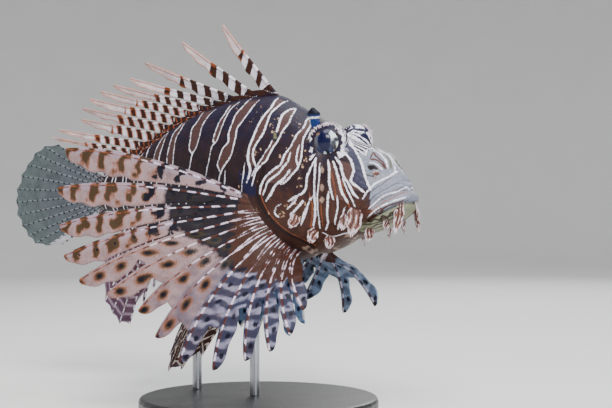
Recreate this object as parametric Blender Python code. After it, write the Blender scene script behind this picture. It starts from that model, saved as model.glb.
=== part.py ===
"""Red lionfish, a still life-size display model held by two short rods on a round base.

The fish heads along +X with its back up. The origin is the middle of the base's underside.
Sizes of the fish are in millimetres, measured back from the snout (along), to the fish's left
(side) and up from the body's axis (level); place() turns them into metres.
"""

from __future__ import annotations

import math
import random
from typing import NamedTuple

import bmesh
import bpy
import numpy as np

MM = 0.001
SNOUT_X = 100.0
AXIS_HEIGHT = 118.0
GAP = 0.3
CLEAR = 0.6
RIGHT, LEFT = -1.0, 1.0

SIDE_TURNS = (-66, -52, -43, -37, -33, -30, -26, -21, -15, -8, 0, 10, 20, 30, 40, 50, 60, 70, 80,
              90)
RING_POINTS = 2 * len(SIDE_TURNS)
GILL = 77.0
STALK = 198.0
FLESH_END = 226.0
GILL_LIFT = 1.7

EYE_ALONG, EYE_SIDE, EYE_LEVEL = 42.5, 11.4, 25.8
EYE_RADIUS = 8.2
EYE_FORWARD = math.radians(24)
ORBIT_BLEND = 8.9
ORBIT_FACE = 4.6

MOUTH_ALONG, MOUTH_LEVEL = -1.0, -4.0
MOUTH_SLOPE = math.radians(28)
MOUTH_CORNER = 17.0
MOUTH_COLUMN = -33.0

BASE_RADIUS, BASE_THICKNESS, BASE_EDGE = 64.0, 10.0, 2.0
ROD_RADIUS = 2.6
ROD_PLACES = (103.0, 146.0)

MEMBRANE, TIP = 0.28, 0.2
SHARE_OF_GAP = 0.3


class Station(NamedTuple):
    """One cross-section of the body: where it is, its height and width, and how square it is."""

    along: float
    top: float
    bottom: float
    half_width: float
    widest: float
    back: float
    belly: float


STATIONS = (
    Station(-0.6, -0.4, -3.0, 0.9, -1.8, 2.0, 2.0),
    Station(0.2, 2.2, -6.4, 4.0, -2.0, 2.0, 2.2),
    Station(2.0, 5.2, -9.4, 7.0, -3.0, 1.9, 2.2),
    Station(5.0, 9.2, -12.2, 9.8, -4.0, 1.8, 2.2),
    Station(10.0, 14.0, -14.8, 12.8, -5.0, 1.8, 2.2),
    Station(16.5, 19.4, -17.4, 15.8, -6.0, 1.9, 2.2),
    Station(24.0, 23.4, -19.8, 18.4, -6.0, 2.1, 2.2),
    Station(33.0, 25.8, -22.6, 20.8, -6.0, 2.3, 2.2),
    Station(42.0, 29.6, -25.4, 22.4, -5.0, 2.4, 2.2),
    Station(56.0, 38.0, -30.0, 24.8, -3.0, 2.1, 2.1),
    Station(70.0, 45.6, -34.6, 26.2, -1.0, 1.8, 2.1),
    Station(86.0, 52.0, -37.6, 26.0, 2.0, 1.7, 2.0),
    Station(104.0, 51.7, -38.6, 23.4, 5.0, 1.7, 2.0),
    Station(130.0, 48.0, -36.4, 18.6, 7.0, 1.7, 2.0),
    Station(156.0, 40.4, -31.0, 13.6, 6.0, 1.8, 2.0),
    Station(182.0, 28.0, -21.8, 8.6, 4.0, 1.9, 2.0),
    Station(204.0, 15.6, -12.4, 5.4, 2.0, 2.0, 2.0),
    Station(218.0, 11.0, -9.6, 3.8, 1.0, 2.0, 2.0),
    Station(230.0, 10.6, -9.6, 2.4, 0.5, 2.0, 2.0),
)

HEAD_RINGS = (-0.3, 0.9, 2.8, 5.5, 9, 12.5, 16, 19.5, 23, 26.5, 30, 33.5, 37, 40.5, 44, 47.5, 51,
              55, 59.5, 64, 68.5, 73)
TORSO_RINGS = (82, 88, 95, 103, 112, 122, 132, 143, 154, 165, 176, 187)
STALK_RINGS = (205, 212, 219)


class Curve:
    """A smooth curve through a few key points that never overshoots them."""

    def __init__(self, *keys: tuple[float, float]):
        self.x = np.array([key[0] for key in keys], float)
        self.y = np.array([key[1] for key in keys], float)
        step = np.diff(self.x)
        rise = np.diff(self.y) / step
        slope = np.zeros(len(self.x))
        slope[0], slope[-1] = rise[0], rise[-1]
        for i in range(1, len(rise)):
            if rise[i - 1] * rise[i] > 0:
                before, after = 2 * step[i] + step[i - 1], step[i] + 2 * step[i - 1]
                slope[i] = (before + after) / (before / rise[i - 1] + after / rise[i])
        self.slope = slope

    def __call__(self, x: float) -> float:
        """The curve's value at x, held level past its ends."""
        x = min(max(x, self.x[0]), self.x[-1])
        i = min(int(np.searchsorted(self.x, x, side="right")) - 1, len(self.x) - 2)
        width = self.x[i + 1] - self.x[i]
        t = (x - self.x[i]) / width
        return float(
            self.y[i] * (1 + 2 * t) * (1 - t) ** 2
            + self.y[i + 1] * t * t * (3 - 2 * t)
            + width * (self.slope[i] * t * (1 - t) ** 2 + self.slope[i + 1] * t * t * (t - 1))
        )


def ease(start: float, end: float, x: float) -> float:
    """0 at start, 1 at end and smooth between them, in either direction."""
    t = min(max((x - start) / (end - start), 0.0), 1.0)
    return t * t * (3 - 2 * t)


def unit(vector: np.ndarray) -> np.ndarray:
    """The vector at length 1."""
    return vector / max(float(np.linalg.norm(vector)), 1e-9)


def place(point: np.ndarray) -> tuple[float, float, float]:
    """World metres of a point given as (along, side, level) in millimetres."""
    return (SNOUT_X - point[0]) * MM, point[1] * MM, (AXIS_HEIGHT + point[2]) * MM


NONE = Curve((0, 0), (1, 0))
TOP, BOTTOM, HALF_WIDTH, WIDEST, BACK, BELLY = (
    Curve(*((station.along, station[field]) for station in STATIONS)) for field in range(1, 7)
)
GILL_SWEEP = Curve(
    (-40, -24), (-31, -24), (-26, -21), (-21, -15.5), (-14.5, -9.5), (-7, -3.5), (0, 0), (11, -2),
    (32, -2), (52, 6),
)


MOUTH_TURN = Curve((0, -34), (5, -24), (10, -29), (16.5, -39), (24, -53), (30, -59), (50, -33))


def ring_turn(ring: float, k: int) -> float:
    """The angle of point k of a ring, from below and up the left, bent so one keeps to the mouth."""
    mirrored = k > len(SIDE_TURNS)
    turn = SIDE_TURNS[(k - 1 if not mirrored else RING_POINTS - 1 - k)] if k else -90.0
    shift = MOUTH_TURN(ring) - MOUTH_COLUMN
    end = 90 if turn > MOUTH_COLUMN else -90
    turn += shift * (end - turn) / (end - MOUTH_COLUMN)
    return math.radians(180 - turn if mirrored else turn)


def section(along: float, turn: float) -> np.ndarray:
    """A point of the plain body at an angle round its axis, 0 to the left and a quarter turn up."""
    across, up = math.cos(turn), math.sin(turn)
    widest = WIDEST(along)
    power = 2 / (BACK(along) if up > 0 else BELLY(along))
    height = TOP(along) - widest if up > 0 else widest - BOTTOM(along)
    side = HALF_WIDTH(along) * math.copysign(abs(across) ** power, across)
    return np.array([along, side, widest + height * math.copysign(abs(up) ** power, up)])


def orbit(point: np.ndarray) -> np.ndarray:
    """The point lifted softly onto the mound round the nearer eye, cut flat where the eye shows."""
    hand = math.copysign(1.0, point[1])
    centre = np.array([EYE_ALONG, hand * EYE_SIDE, EYE_LEVEL])
    away = point - centre
    distance = max(float(np.linalg.norm(away)), 1e-6)
    facing = float(away @ eye_axis(hand)) / distance
    reach = min(ORBIT_BLEND, ORBIT_FACE / facing) if facing > 0 else ORBIT_BLEND
    return centre + away / distance * (distance**6 + reach**6) ** (1 / 6)


def eye_axis(hand: float) -> np.ndarray:
    """The way that an eye looks: outwards and a little ahead."""
    return np.array([-math.sin(EYE_FORWARD), hand * math.cos(EYE_FORWARD), 0.0])


def lips(point: np.ndarray) -> np.ndarray:
    """The point pushed out over the two lips and in along the fold above the upper one."""
    above = (point[2] - MOUTH_LEVEL) * math.cos(MOUTH_SLOPE)
    above += (point[0] - MOUTH_ALONG) * math.sin(MOUTH_SLOPE)
    upper = 1.5 * math.exp(-(((above - 2.4) / 1.7) ** 2))
    fold = 1.0 * math.exp(-(((above - 5.6) / 1.3) ** 2))
    lower = 1.1 * math.exp(-(((above + 2.1) / 1.5) ** 2))
    line = 0.9 * math.exp(-((above / 0.7) ** 2))
    out = unit(np.array([min(point[0] - 20, 0.0), point[1], 0.3 * (point[2] + 5)]))
    rise = upper + lower - fold - line
    return point + out * rise * ease(MOUTH_CORNER + 9, MOUTH_CORNER - 3, point[0])


def skin(ring: float, turn: float, swell: float = 0.0) -> np.ndarray:
    """A point of the finished flesh; rings near the gill opening sweep forward to follow it."""
    level = section(ring, turn)[2]
    swept = ease(18, GILL, ring) if ring <= GILL else ease(135, GILL, ring)
    point = section(ring + swept * GILL_SWEEP(level), turn)
    point = lips(orbit(point))
    cover = GILL_LIFT * ease(50, GILL, ring) * ease(26, 12, level) if ring <= GILL else 0.0
    out = unit(np.array([0.0, point[1], point[2] - WIDEST(point[0])]))
    point += out * (cover + swell)
    if abs(ring - GILL) < 1:
        point[0] = ring + GILL_SWEEP(point[2])
    return point


def material(name: str, colour: tuple[float, float, float], roughness: float) -> bpy.types.Material:
    """A plain finish for one sub-part."""
    made = bpy.data.materials.new(name)
    made.use_nodes = True
    shader = made.node_tree.nodes["Principled BSDF"]
    shader.inputs["Base Color"].default_value = (*colour, 1.0)
    shader.inputs["Roughness"].default_value = roughness
    shader.inputs["Metallic"].default_value = 0.0
    return made


def build(name: str, points: list, faces: list, finish: bpy.types.Material) -> bpy.types.Object:
    """A mesh object from points in millimetres of the fish's own frame, with its faces turned out."""
    mesh = bpy.data.meshes.new(name)
    mesh.from_pydata([place(point) for point in points], [], faces)
    shape = bmesh.new()
    shape.from_mesh(mesh)
    bmesh.ops.recalc_face_normals(shape, faces=shape.faces)
    shape.to_mesh(mesh)
    shape.free()
    mesh.shade_smooth()
    mesh.set_sharp_from_angle(angle=math.radians(40))
    made = bpy.data.objects.new(name, mesh)
    made.data.materials.append(finish)
    bpy.context.scene.collection.objects.link(made)
    return made


def loft(name: str, rings: list[float], finish: bpy.types.Material, swell: float = 0.0,
         nose: bool = False) -> bpy.types.Object:
    """A closed length of the body through the rings; each flat end is a ladder from side to side."""
    count = RING_POINTS
    points = [skin(ring, ring_turn(ring, k), swell) for ring in rings for k in range(count)]
    faces = []
    for row in range(len(rings) - 1):
        for k in range(count):
            here, beside = row * count + k, row * count + (k + 1) % count
            faces.append((here, beside, beside + count, here + count))
    if nose:
        points.append(skin(STATIONS[0].along, 0.0, swell) * np.array([1, 0, 1]))
        points[-1][0] -= swell
        faces += [((k + 1) % count, k, len(points) - 1) for k in range(count)]
    ends = [len(rings) - 1] if nose else [0, len(rings) - 1]
    for row in ends:
        start = row * count
        for k in range(count // 2):
            rung = (start + k, start + k + 1, start + count - k - 1, start + (count - k) % count)
            faces.append(tuple(dict.fromkeys(rung)))
    return build(name, points, faces, finish)


def thick_sheet(name: str, points: np.ndarray, half: np.ndarray, joined: np.ndarray,
                finish: bpy.types.Material) -> bpy.types.Object:
    """A grid of points made into a closed body that reaches half a thickness either side of it.

    joined says which squares of the grid exist; both faces are cut into the same triangles.
    """
    rows, columns = points.shape[:2]
    normal = np.zeros_like(points)
    corners = []
    for r in range(rows - 1):
        for c in range(columns - 1):
            if not joined[r, c]:
                continue
            square = [(r, c), (r, c + 1), (r + 1, c + 1), (r + 1, c)]
            facing = np.cross(points[square[2]] - points[square[0]],
                              points[square[3]] - points[square[1]])
            for corner in square:
                normal[corner] += facing
            corners.append(square)
    used = sorted({corner for square in corners for corner in square})
    index = {corner: i for i, corner in enumerate(used)}
    offset = [unit(normal[corner]) * half[corner] for corner in used]
    made = [points[corner] + shift for corner, shift in zip(used, offset)]
    made += [points[corner] - shift for corner, shift in zip(used, offset)]
    back = len(used)
    faces, edges = [], {}
    for square in corners:
        a, b, c, d = (index[corner] for corner in square)
        for triangle in ((a, b, c), (a, c, d)):
            faces.append(triangle)
            faces.append(tuple(back + i for i in reversed(triangle)))
        for edge in ((a, b), (b, c), (c, d), (d, a)):
            if edge[::-1] in edges:
                del edges[edge[::-1]]
            else:
                edges[edge] = True
    faces += [(b, a, back + a, back + b) for a, b in edges]
    return build(name, made, faces, finish)


def modify(target: bpy.types.Object, operation: str, others: list[bpy.types.Object]) -> None:
    """Join the other bodies to the target or cut them from it, and keep its largest closed body."""
    group = bpy.data.collections.new("pieces")
    for other in others:
        group.objects.link(other)
    boolean = target.modifiers.new(operation, "BOOLEAN")
    boolean.operation = operation
    boolean.operand_type = "COLLECTION"
    boolean.collection = group
    for solver in ("EXACT", "MANIFOLD"):
        boolean.solver = solver
        graph = bpy.context.evaluated_depsgraph_get()
        graph.update()
        mesh = bpy.data.meshes.new_from_object(target.evaluated_get(graph))
        if len(mesh.polygons) > 8:
            break
    target.modifiers.remove(boolean)
    target.data = mesh
    bpy.data.collections.remove(group)
    for other in others:
        if operation == "UNION":
            bpy.data.objects.remove(other)
    keep_largest(mesh)


def keep_largest(mesh: bpy.types.Mesh) -> None:
    """Remove every closed surface of the mesh but its largest, and merge points that coincide."""
    shape = bmesh.new()
    shape.from_mesh(mesh)
    bmesh.ops.remove_doubles(shape, verts=shape.verts, dist=2e-6)
    waiting, islands = set(shape.faces), []
    while waiting:
        edge_of, island = [waiting.pop()], []
        while edge_of:
            face = edge_of.pop()
            island.append(face)
            for edge in face.edges:
                for beside in edge.link_faces:
                    if beside in waiting:
                        waiting.remove(beside)
                        edge_of.append(beside)
        islands.append(island)
    islands.sort(key=lambda island: sum(face.calc_area() for face in island))
    for island in islands[:-1]:
        bmesh.ops.delete(shape, geom=island, context="FACES")
    loose = [point for point in shape.verts if not point.link_faces]
    bmesh.ops.delete(shape, geom=loose, context="VERTS")
    bmesh.ops.triangulate(shape, faces=shape.faces)
    shape.to_mesh(mesh)
    shape.free()


def discard(objects: list[bpy.types.Object]) -> None:
    """Remove helper objects once they have cut what they cut."""
    for helper in objects:
        bpy.data.objects.remove(helper)


class Fan(NamedTuple):
    """A fin's rays, most of their sizes as curves of the place t, 0 at the first ray and 1 at the last.

    pitch is 0 for a ray that points straight back and 90 for one that points down; spread turns
    it outwards; bulge bows it outwards and arch bows it up; web is the share of its length up to
    which the membrane joins it to the next; lobe is how wide its own membrane is past that.
    """

    name: str
    rays: int
    hand: float
    root_along: Curve
    root_side: Curve
    root_level: Curve
    pitch: Curve
    spread: Curve
    reach: Curve
    web: Curve
    lobe: Curve
    rows: tuple[float, ...]
    shaft: float
    ridge: float
    root_half: float
    bulge: Curve = NONE
    arch: Curve = NONE
    lead: float = 0.0
    round_from: float = 0.6
    notch: float = 0.4
    sway: float = 0.8
    seed: int = 1


def ray_lines(fan: Fan) -> np.ndarray:
    """The middle line of each ray at the fin's rows."""
    draw = random.Random(fan.seed)
    lines = np.zeros((fan.rays, len(fan.rows), 3))
    for i in range(fan.rays):
        t = i / (fan.rays - 1)
        pitch, spread = math.radians(fan.pitch(t)), math.radians(fan.spread(t))
        root = np.array([fan.root_along(t), fan.hand * fan.root_side(t), fan.root_level(t)])
        way = np.array([math.cos(pitch) * math.cos(spread), fan.hand * math.sin(spread),
                        -math.sin(pitch) * math.cos(spread)])
        reach = fan.reach(t) * draw.uniform(0.985, 1.015)
        sway = draw.uniform(-fan.sway, fan.sway)
        for r, share in enumerate(fan.rows):
            bow = 4 * share * (1 - share) * reach
            lines[i, r] = root + way * reach * share
            lines[i, r, 1] += fan.hand * bow * fan.bulge(t) + sway * share**2
            lines[i, r, 2] += bow * fan.arch(t)
    return lines


def nearest(point: np.ndarray, line: np.ndarray) -> float:
    """How far the point is from the nearest place on a line of points."""
    found = math.inf
    for start, end in zip(line[:-1], line[1:]):
        run = end - start
        share = min(max(float((point - start) @ run) / float(run @ run), 0.0), 1.0)
        found = min(found, float(np.linalg.norm(point - start - run * share)))
    return found


def rayed_fin(fan: Fan, finish: bpy.types.Material) -> bpy.types.Object:
    """The fin as one sheet: each ray is a ridge in it with its own lobe, parted past the web."""
    lines = ray_lines(fan)
    rays, rows = lines.shape[:2]
    way = np.gradient(lines, axis=1)
    side = np.zeros_like(lines)
    for i in range(rays):
        for r in range(rows):
            other = lines[i + 1, r] - lines[i, r] if i < rays - 1 else lines[i, r] - lines[i - 1, r]
            along = unit(way[i, r])
            side[i, r] = unit(other - along * float(other @ along))
    points = np.zeros((rows, 4 * rays, 3))
    half = np.zeros((rows, 4 * rays))
    joined = np.ones((rows - 1, 4 * rays - 1), bool)
    for i in range(rays):
        t = i / (rays - 1)
        web = min(range(rows), key=lambda r: abs(fan.rows[r] - fan.web(t)))
        joined[web:, 4 * i + 3:4 * i + 4] = False
        for r, share in enumerate(fan.rows):
            slim = 1 - 0.7 * share
            gap = nearest(lines[i, r], lines[i + 1]) if i < rays - 1 else math.inf
            beside = nearest(lines[i, r], lines[i - 1]) if i else math.inf
            shaft = min(fan.shaft * slim, SHARE_OF_GAP * gap, SHARE_OF_GAP * beside)
            full = ease(0, 0.3, share)
            if share > fan.round_from:
                full *= math.sqrt(1 - ((share - fan.round_from) / (1 - fan.round_from)) ** 2)
            ahead = shaft + fan.lead * full
            room = gap - fan.shaft - fan.lead * full - CLEAR
            behind = max(min(shaft + fan.lobe(t) * full, room), shaft * 1.4)
            for column, offset in enumerate((-ahead, 0.0, shaft, behind)):
                points[r, 4 * i + column] = lines[i, r] + side[i, r] * offset
            root = (fan.root_half - MEMBRANE) * ease(0.3, 0.0, share)
            ridge = MEMBRANE + (fan.ridge - MEMBRANE) * slim
            for column, height in enumerate((MEMBRANE, ridge, MEMBRANE + 0.06, MEMBRANE)):
                half[r, 4 * i + column] = max(height, root) if share < 1 else TIP
    for i in range(rays - 1):
        web = min(range(rows), key=lambda r: abs(fan.rows[r] - fan.web(i / (rays - 1))))
        for r in range(web + 1):
            points[r, 4 * i + 3] = (points[r, 4 * i + 2] + points[r, 4 * i + 4]) / 2
        if web == rows - 1:
            inner = points[web - 1, 4 * i + 3]
            points[web, 4 * i + 3] += (inner - points[web, 4 * i + 3]) * fan.notch
    return thick_sheet(fan.name, points, half, joined, finish)


FLAT_ROWS = (0.0, 0.14, 0.35, 0.6, 0.82, 1.0)
MIDDLE = Curve((0, 0), (1, 0))


def pectoral(name: str, hand: float, pitch: Curve, spread: Curve, reach: Curve) -> Fan:
    """The great fan behind the gill opening, from a long slanting root."""
    return Fan(
        name, 14, hand,
        Curve((0, 84), (1, 65)), Curve((0, 22), (0.5, 20), (1, 11)), Curve((0, -3.5), (1, -31)),
        pitch, spread, reach,
        web=Curve((0, 0.14), (0.08, 0.2), (0.16, 0.3), (0.24, 0.45), (0.32, 0.7), (0.55, 0.8),
                  (0.7, 0.6), (1, 0.5)),
        lobe=Curve((0, 11), (0.25, 10), (0.6, 7), (1, 5)),
        rows=(0.0, 0.1, 0.22, 0.4, 0.6, 0.8, 0.93, 1.0), shaft=0.9, ridge=0.95, root_half=3.4,
        bulge=Curve((0, 0.03), (1, 0.14)), arch=Curve((0, 0.055), (0.15, 0.035), (1, 0.05)),
        lead=1.2, round_from=0.72, seed=11,
    )


def pelvic(name: str, hand: float, pitch: Curve, reach: Curve) -> Fan:
    """A paired fin under the belly: one spine and its rays."""
    return Fan(
        name, 6, hand,
        Curve((0, 83), (1, 91)), Curve((0, 7), (1, 4.5)), Curve((0, -33), (1, -34)),
        pitch, Curve((0, 15), (1, 4.5)), reach,
        web=Curve((0, 0.82), (1, 1)), lobe=Curve((0, 3), (1, 3)), rows=FLAT_ROWS, shaft=0.9,
        ridge=0.8, root_half=1.6, bulge=Curve((0, 0.05), (1, 0.03)), seed=7,
    )


FANS = (
    Fan(
        "spiny_dorsal_fin", 13, RIGHT,
        Curve((0, 82.5), (1, 197)), MIDDLE,
        Curve((0, 47), (0.2, 46), (0.45, 40), (0.6, 34), (0.8, 24), (1, 14)),
        Curve((0, -46), (1 / 12, -30.6), (2 / 12, -19.3), (3 / 12, -14), (6 / 12, -11.4),
              (8 / 12, -9.9), (9 / 12, -8), (10 / 12, -8.2), (11 / 12, -14), (1, -25)),
        MIDDLE,
        Curve((0, 64), (1 / 12, 77), (2 / 12, 89), (3 / 12, 95), (6 / 12, 97), (8 / 12, 87),
              (9 / 12, 97), (10 / 12, 91), (11 / 12, 34), (1, 28)),
        web=Curve((0, 0.2), (1, 0.2)), lobe=Curve((0, 4.6), (0.7, 3.8), (0.82, 1.6), (1, 0.6)),
        rows=(0.0, 0.2, 0.45, 0.72, 1.0), shaft=1.15, ridge=1.1, root_half=1.1,
        round_from=0.55, sway=2.2, seed=3,
    ),
    Fan(
        "soft_dorsal_fin", 6, RIGHT,
        Curve((0, 204), (1, 215)), MIDDLE, Curve((0, 9), (1, 8)),
        Curve((0, -30), (1, -31)), MIDDLE, Curve((0, 35), (0.4, 33), (1, 22)),
        web=Curve((0, 1), (1, 1)), lobe=Curve((0, 1), (1, 0.4)), rows=(0.0, 0.3, 0.7, 1.0),
        shaft=0.4, ridge=0.65, root_half=0.9, sway=0.3, seed=4,
    ),
    Fan(
        "caudal_fin", 13, RIGHT,
        Curve((0, 220), (0.5, 219), (1, 220)), MIDDLE, Curve((0, 8.2), (1, -7.4)),
        Curve((0, -27), (0.5, 3), (1, 29)), MIDDLE,
        Curve((0, 50), (0.12, 66), (0.3, 79), (0.55, 86), (0.75, 78), (0.9, 62), (1, 46)),
        web=Curve((0, 1), (1, 1)), lobe=Curve((0, 1), (1, 1)), rows=(0.0, 0.2, 0.5, 0.8, 1.0),
        shaft=0.42, ridge=0.75, root_half=2.0, sway=0.5, seed=5,
    ),
    Fan(
        "anal_fin", 9, RIGHT,
        Curve((0, 166), (1, 196)), MIDDLE, Curve((0, -22), (1, -11)),
        Curve((0, 74), (0.3, 69), (1, 48)), MIDDLE,
        Curve((0, 22), (0.2, 42), (0.45, 66), (0.7, 61), (1, 40)),
        web=Curve((0, 0.6), (0.3, 0.82), (0.4, 1), (1, 1)), lobe=Curve((0, 2), (1, 1.5)),
        rows=(0.0, 0.2, 0.5, 0.8, 1.0), shaft=0.7, ridge=0.8, root_half=1.2, sway=0.6, seed=6,
    ),
    pelvic("pelvic_fin_right", RIGHT, Curve((0, 56), (0.5, 44), (1, 32)),
           Curve((0, 66), (0.4, 88), (1, 68))),
    pelvic("pelvic_fin_left", LEFT, Curve((0, 92), (0.5, 64), (1, 40)),
           Curve((0, 38), (0.4, 50), (1, 54))),
    pectoral(
        "pectoral_fin_right", RIGHT,
        Curve((0, -16), (0.154, 5.4), (0.308, 22), (0.385, 29.5), (0.54, 54), (0.77, 98), (1, 133)),
        Curve((0, 24), (0.5, 32), (1, 32)),
        Curve((0, 109), (0.23, 110), (0.385, 92), (0.5, 79), (0.615, 81), (0.77, 69), (0.92, 56),
              (1, 43)),
    ),
    pectoral(
        "pectoral_fin_left", LEFT,
        Curve((0, -12), (0.385, 8), (0.6, 22), (0.77, 34), (0.85, 48), (0.925, 84), (1, 122)),
        Curve((0, 22), (0.8, 22), (0.93, 34), (1, 34)),
        Curve((0, 106), (0.3, 100), (0.6, 76), (0.85, 46), (1, 41)),
    ),
)


def ball(name: str, centre: np.ndarray, radius: float, steps: int,
         finish: bpy.types.Material) -> bpy.types.Object:
    """A closed ball of a few rings."""
    bands = steps * 5 // 8
    points = [centre + np.array([0, 0, radius]), centre - np.array([0, 0, radius])]
    faces = []
    for band in range(1, bands):
        lift, width = math.cos(math.pi * band / bands), math.sin(math.pi * band / bands)
        for k in range(steps):
            turn = math.tau * k / steps
            points.append(centre + radius * np.array([width * math.cos(turn),
                                                      width * math.sin(turn), lift]))
    last = 2 + (bands - 2) * steps
    for k in range(steps):
        beside = (k + 1) % steps
        faces.append((0, 2 + k, 2 + beside))
        faces.append((1, last + beside, last + k))
        for band in range(bands - 2):
            start = 2 + band * steps
            faces.append((start + k, start + steps + k, start + steps + beside, start + beside))
    return build(name, points, faces, finish)


def spun(name: str, centre: np.ndarray, axis: np.ndarray, profile: tuple, steps: int,
         finish: bpy.types.Material) -> bpy.types.Object:
    """A round body about an axis, from a profile of (radius, height) that starts and ends on it."""
    across = unit(np.cross(axis, np.array([0.0, 1.0, 0.0] if abs(axis[2]) > 0.9 else [0.0, 0.0, 1.0])))
    up = np.cross(across, axis)
    points = [centre + axis * profile[0][1], centre + axis * profile[-1][1]]
    rings = profile[1:-1]
    for radius, height in rings:
        for k in range(steps):
            turn = math.tau * k / steps
            out = across * math.cos(turn) + up * math.sin(turn)
            points.append(centre + out * radius + axis * height)
    faces = []
    last = 2 + (len(rings) - 1) * steps
    for k in range(steps):
        beside = (k + 1) % steps
        faces.append((0, 2 + beside, 2 + k))
        faces.append((1, last + k, last + beside))
        for row in range(len(rings) - 1):
            start = 2 + row * steps
            faces.append((start + k, start + beside, start + steps + beside, start + steps + k))
    return build(name, points, faces, finish)


ORBIT = ((0.0, -9.9), (6.4, -7.9), (9.1, -4.2), (9.9, 0.4), (9.5, 3.0), (8.7, 4.9), (7.7, 5.5),
         (6.9, 5.1), (6.6, 4.0), (0.0, 4.0))
NOSTRIL_RIM = ((0.0, -1.2), (2.1, -1.0), (1.9, 0.5), (1.2, 0.9), (0.0, 0.6))


def spot(ring: float, turn: float) -> tuple[np.ndarray, np.ndarray]:
    """A point of the skin and the way out of it there."""
    step = 0.02
    here = skin(ring, turn)
    out = np.cross(skin(ring + 1, turn) - here, skin(ring, turn + step) - here)
    return here, unit(out) * math.copysign(1.0, out[1] * here[1])


class Tab(NamedTuple):
    """A soft flap of the head: where it grows, the way it points, its length and its width."""

    ring: float
    turn: float
    back: float
    down: float
    length: float
    width: float


NOSTRIL = (16.0, 44.0)
HEAD_TABS = (
    Tab(21, -9, 0.15, 0.8, 12.5, 6.5),
    Tab(26, -17, 0.25, 0.8, 7.5, 4.5),
    Tab(58, -17, 0.5, 0.6, 7.0, 5.5),
    Tab(55, -37, 0.4, 0.5, 7.0, 5.0),
    Tab(51, -55, 0.2, 0.4, 6.5, 4.5),
    Tab(13, 42, 0.3, -0.5, 4.0, 2.6),
)
JAW_TABS = (Tab(19, -66, 0.4, 0.8, 6.0, 4.0), Tab(10, -60, 0.4, 0.7, 4.0, 3.0))


def tab(place_at: Tab, hand: float, finish: bpy.types.Material) -> bpy.types.Object:
    """One soft flap with a waved free end."""
    degrees = place_at.turn if hand == LEFT else 180 - place_at.turn
    foot, out = spot(place_at.ring, math.radians(degrees))
    way = unit(out * 0.7 + np.array([place_at.back, 0.0, -place_at.down]))
    across = unit(np.cross(way, out))
    rows, columns = 3, 5
    points = np.zeros((rows, columns, 3))
    half = np.zeros((rows, columns))
    for r in range(rows):
        share = r / (rows - 1)
        reach = place_at.length * (share * 1.25 - 0.25)
        for c in range(columns):
            across_share = 2 * c / (columns - 1) - 1
            wave = 0.16 * share * place_at.length * (c % 2)
            width = place_at.width * (0.34 + 0.3 * share - 0.12 * share**3)
            points[r, c] = (foot - out * 0.4 + way * (reach - wave) + across * width * across_share
                            + out * 0.5 * share * math.cos(2.4 * across_share))
            half[r, c] = 0.75 - 0.4 * share
    return thick_sheet("tab", points, half, np.ones((rows - 1, columns - 1), bool), finish)


def block(name: str, centre: np.ndarray, size: np.ndarray, slope: float,
          finish: bpy.types.Material) -> bpy.types.Object:
    """A box turned about the side axis, for cutting."""
    turn = np.array([[math.cos(slope), 0, math.sin(slope)], [0, 1, 0],
                     [-math.sin(slope), 0, math.cos(slope)]])
    points = [centre + turn @ (size * np.array([a, b, c])) for a in (-0.5, 0.5)
              for b in (-0.5, 0.5) for c in (-0.5, 0.5)]
    faces = [(0, 1, 3, 2), (4, 6, 7, 5), (0, 4, 5, 1), (2, 3, 7, 6), (0, 2, 6, 4), (1, 5, 7, 3)]
    return build(name, points, faces, finish)


def head_and_jaw(finish: bpy.types.Material) -> None:
    """The head with its eye sockets and lids, parted from the lower jaw along the mouth."""
    rings = [*HEAD_RINGS, GILL - GAP / 2]
    head = loft("head", rings, finish, nose=True)
    jaw = loft("lower_jaw", rings, finish, nose=True)
    grown, hollows = [], []
    for hand in (RIGHT, LEFT):
        eye = np.array([EYE_ALONG, hand * EYE_SIDE, EYE_LEVEL])
        axis = eye_axis(hand)
        grown.append(spun("orbit", eye, axis, ORBIT, 22, finish))
        hollows.append(ball("socket", eye, EYE_RADIUS + 0.4, 18, finish))
        ring, degrees = NOSTRIL
        foot, out = spot(ring, math.radians(degrees if hand == LEFT else 180 - degrees))
        grown.append(spun("nostril", foot, out, NOSTRIL_RIM, 10, finish))
        hollows.append(ball("pit", foot + out * 0.7, 1.1, 8, finish))
        grown += [tab(each, hand, finish) for each in HEAD_TABS]
    length, depth = 160.0, 120.0
    down = np.array([-math.sin(MOUTH_SLOPE), 0.0, -math.cos(MOUTH_SLOPE)])
    mouth = np.array([MOUTH_ALONG, 0.0, MOUTH_LEVEL])
    size = np.array([length, depth, depth])
    below = block("below", mouth + down * (depth - GAP) / 2, size, MOUTH_SLOPE, finish)
    above = block("above", mouth - down * (depth - GAP) / 2, size, MOUTH_SLOPE, finish)
    modify(jaw, "UNION", [tab(each, hand, finish) for hand in (RIGHT, LEFT) for each in JAW_TABS])
    modify(jaw, "DIFFERENCE", [above])
    modify(head, "DIFFERENCE", [below])
    modify(head, "UNION", grown)
    modify(head, "DIFFERENCE", hollows)
    discard([below, above, *hollows])


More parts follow.
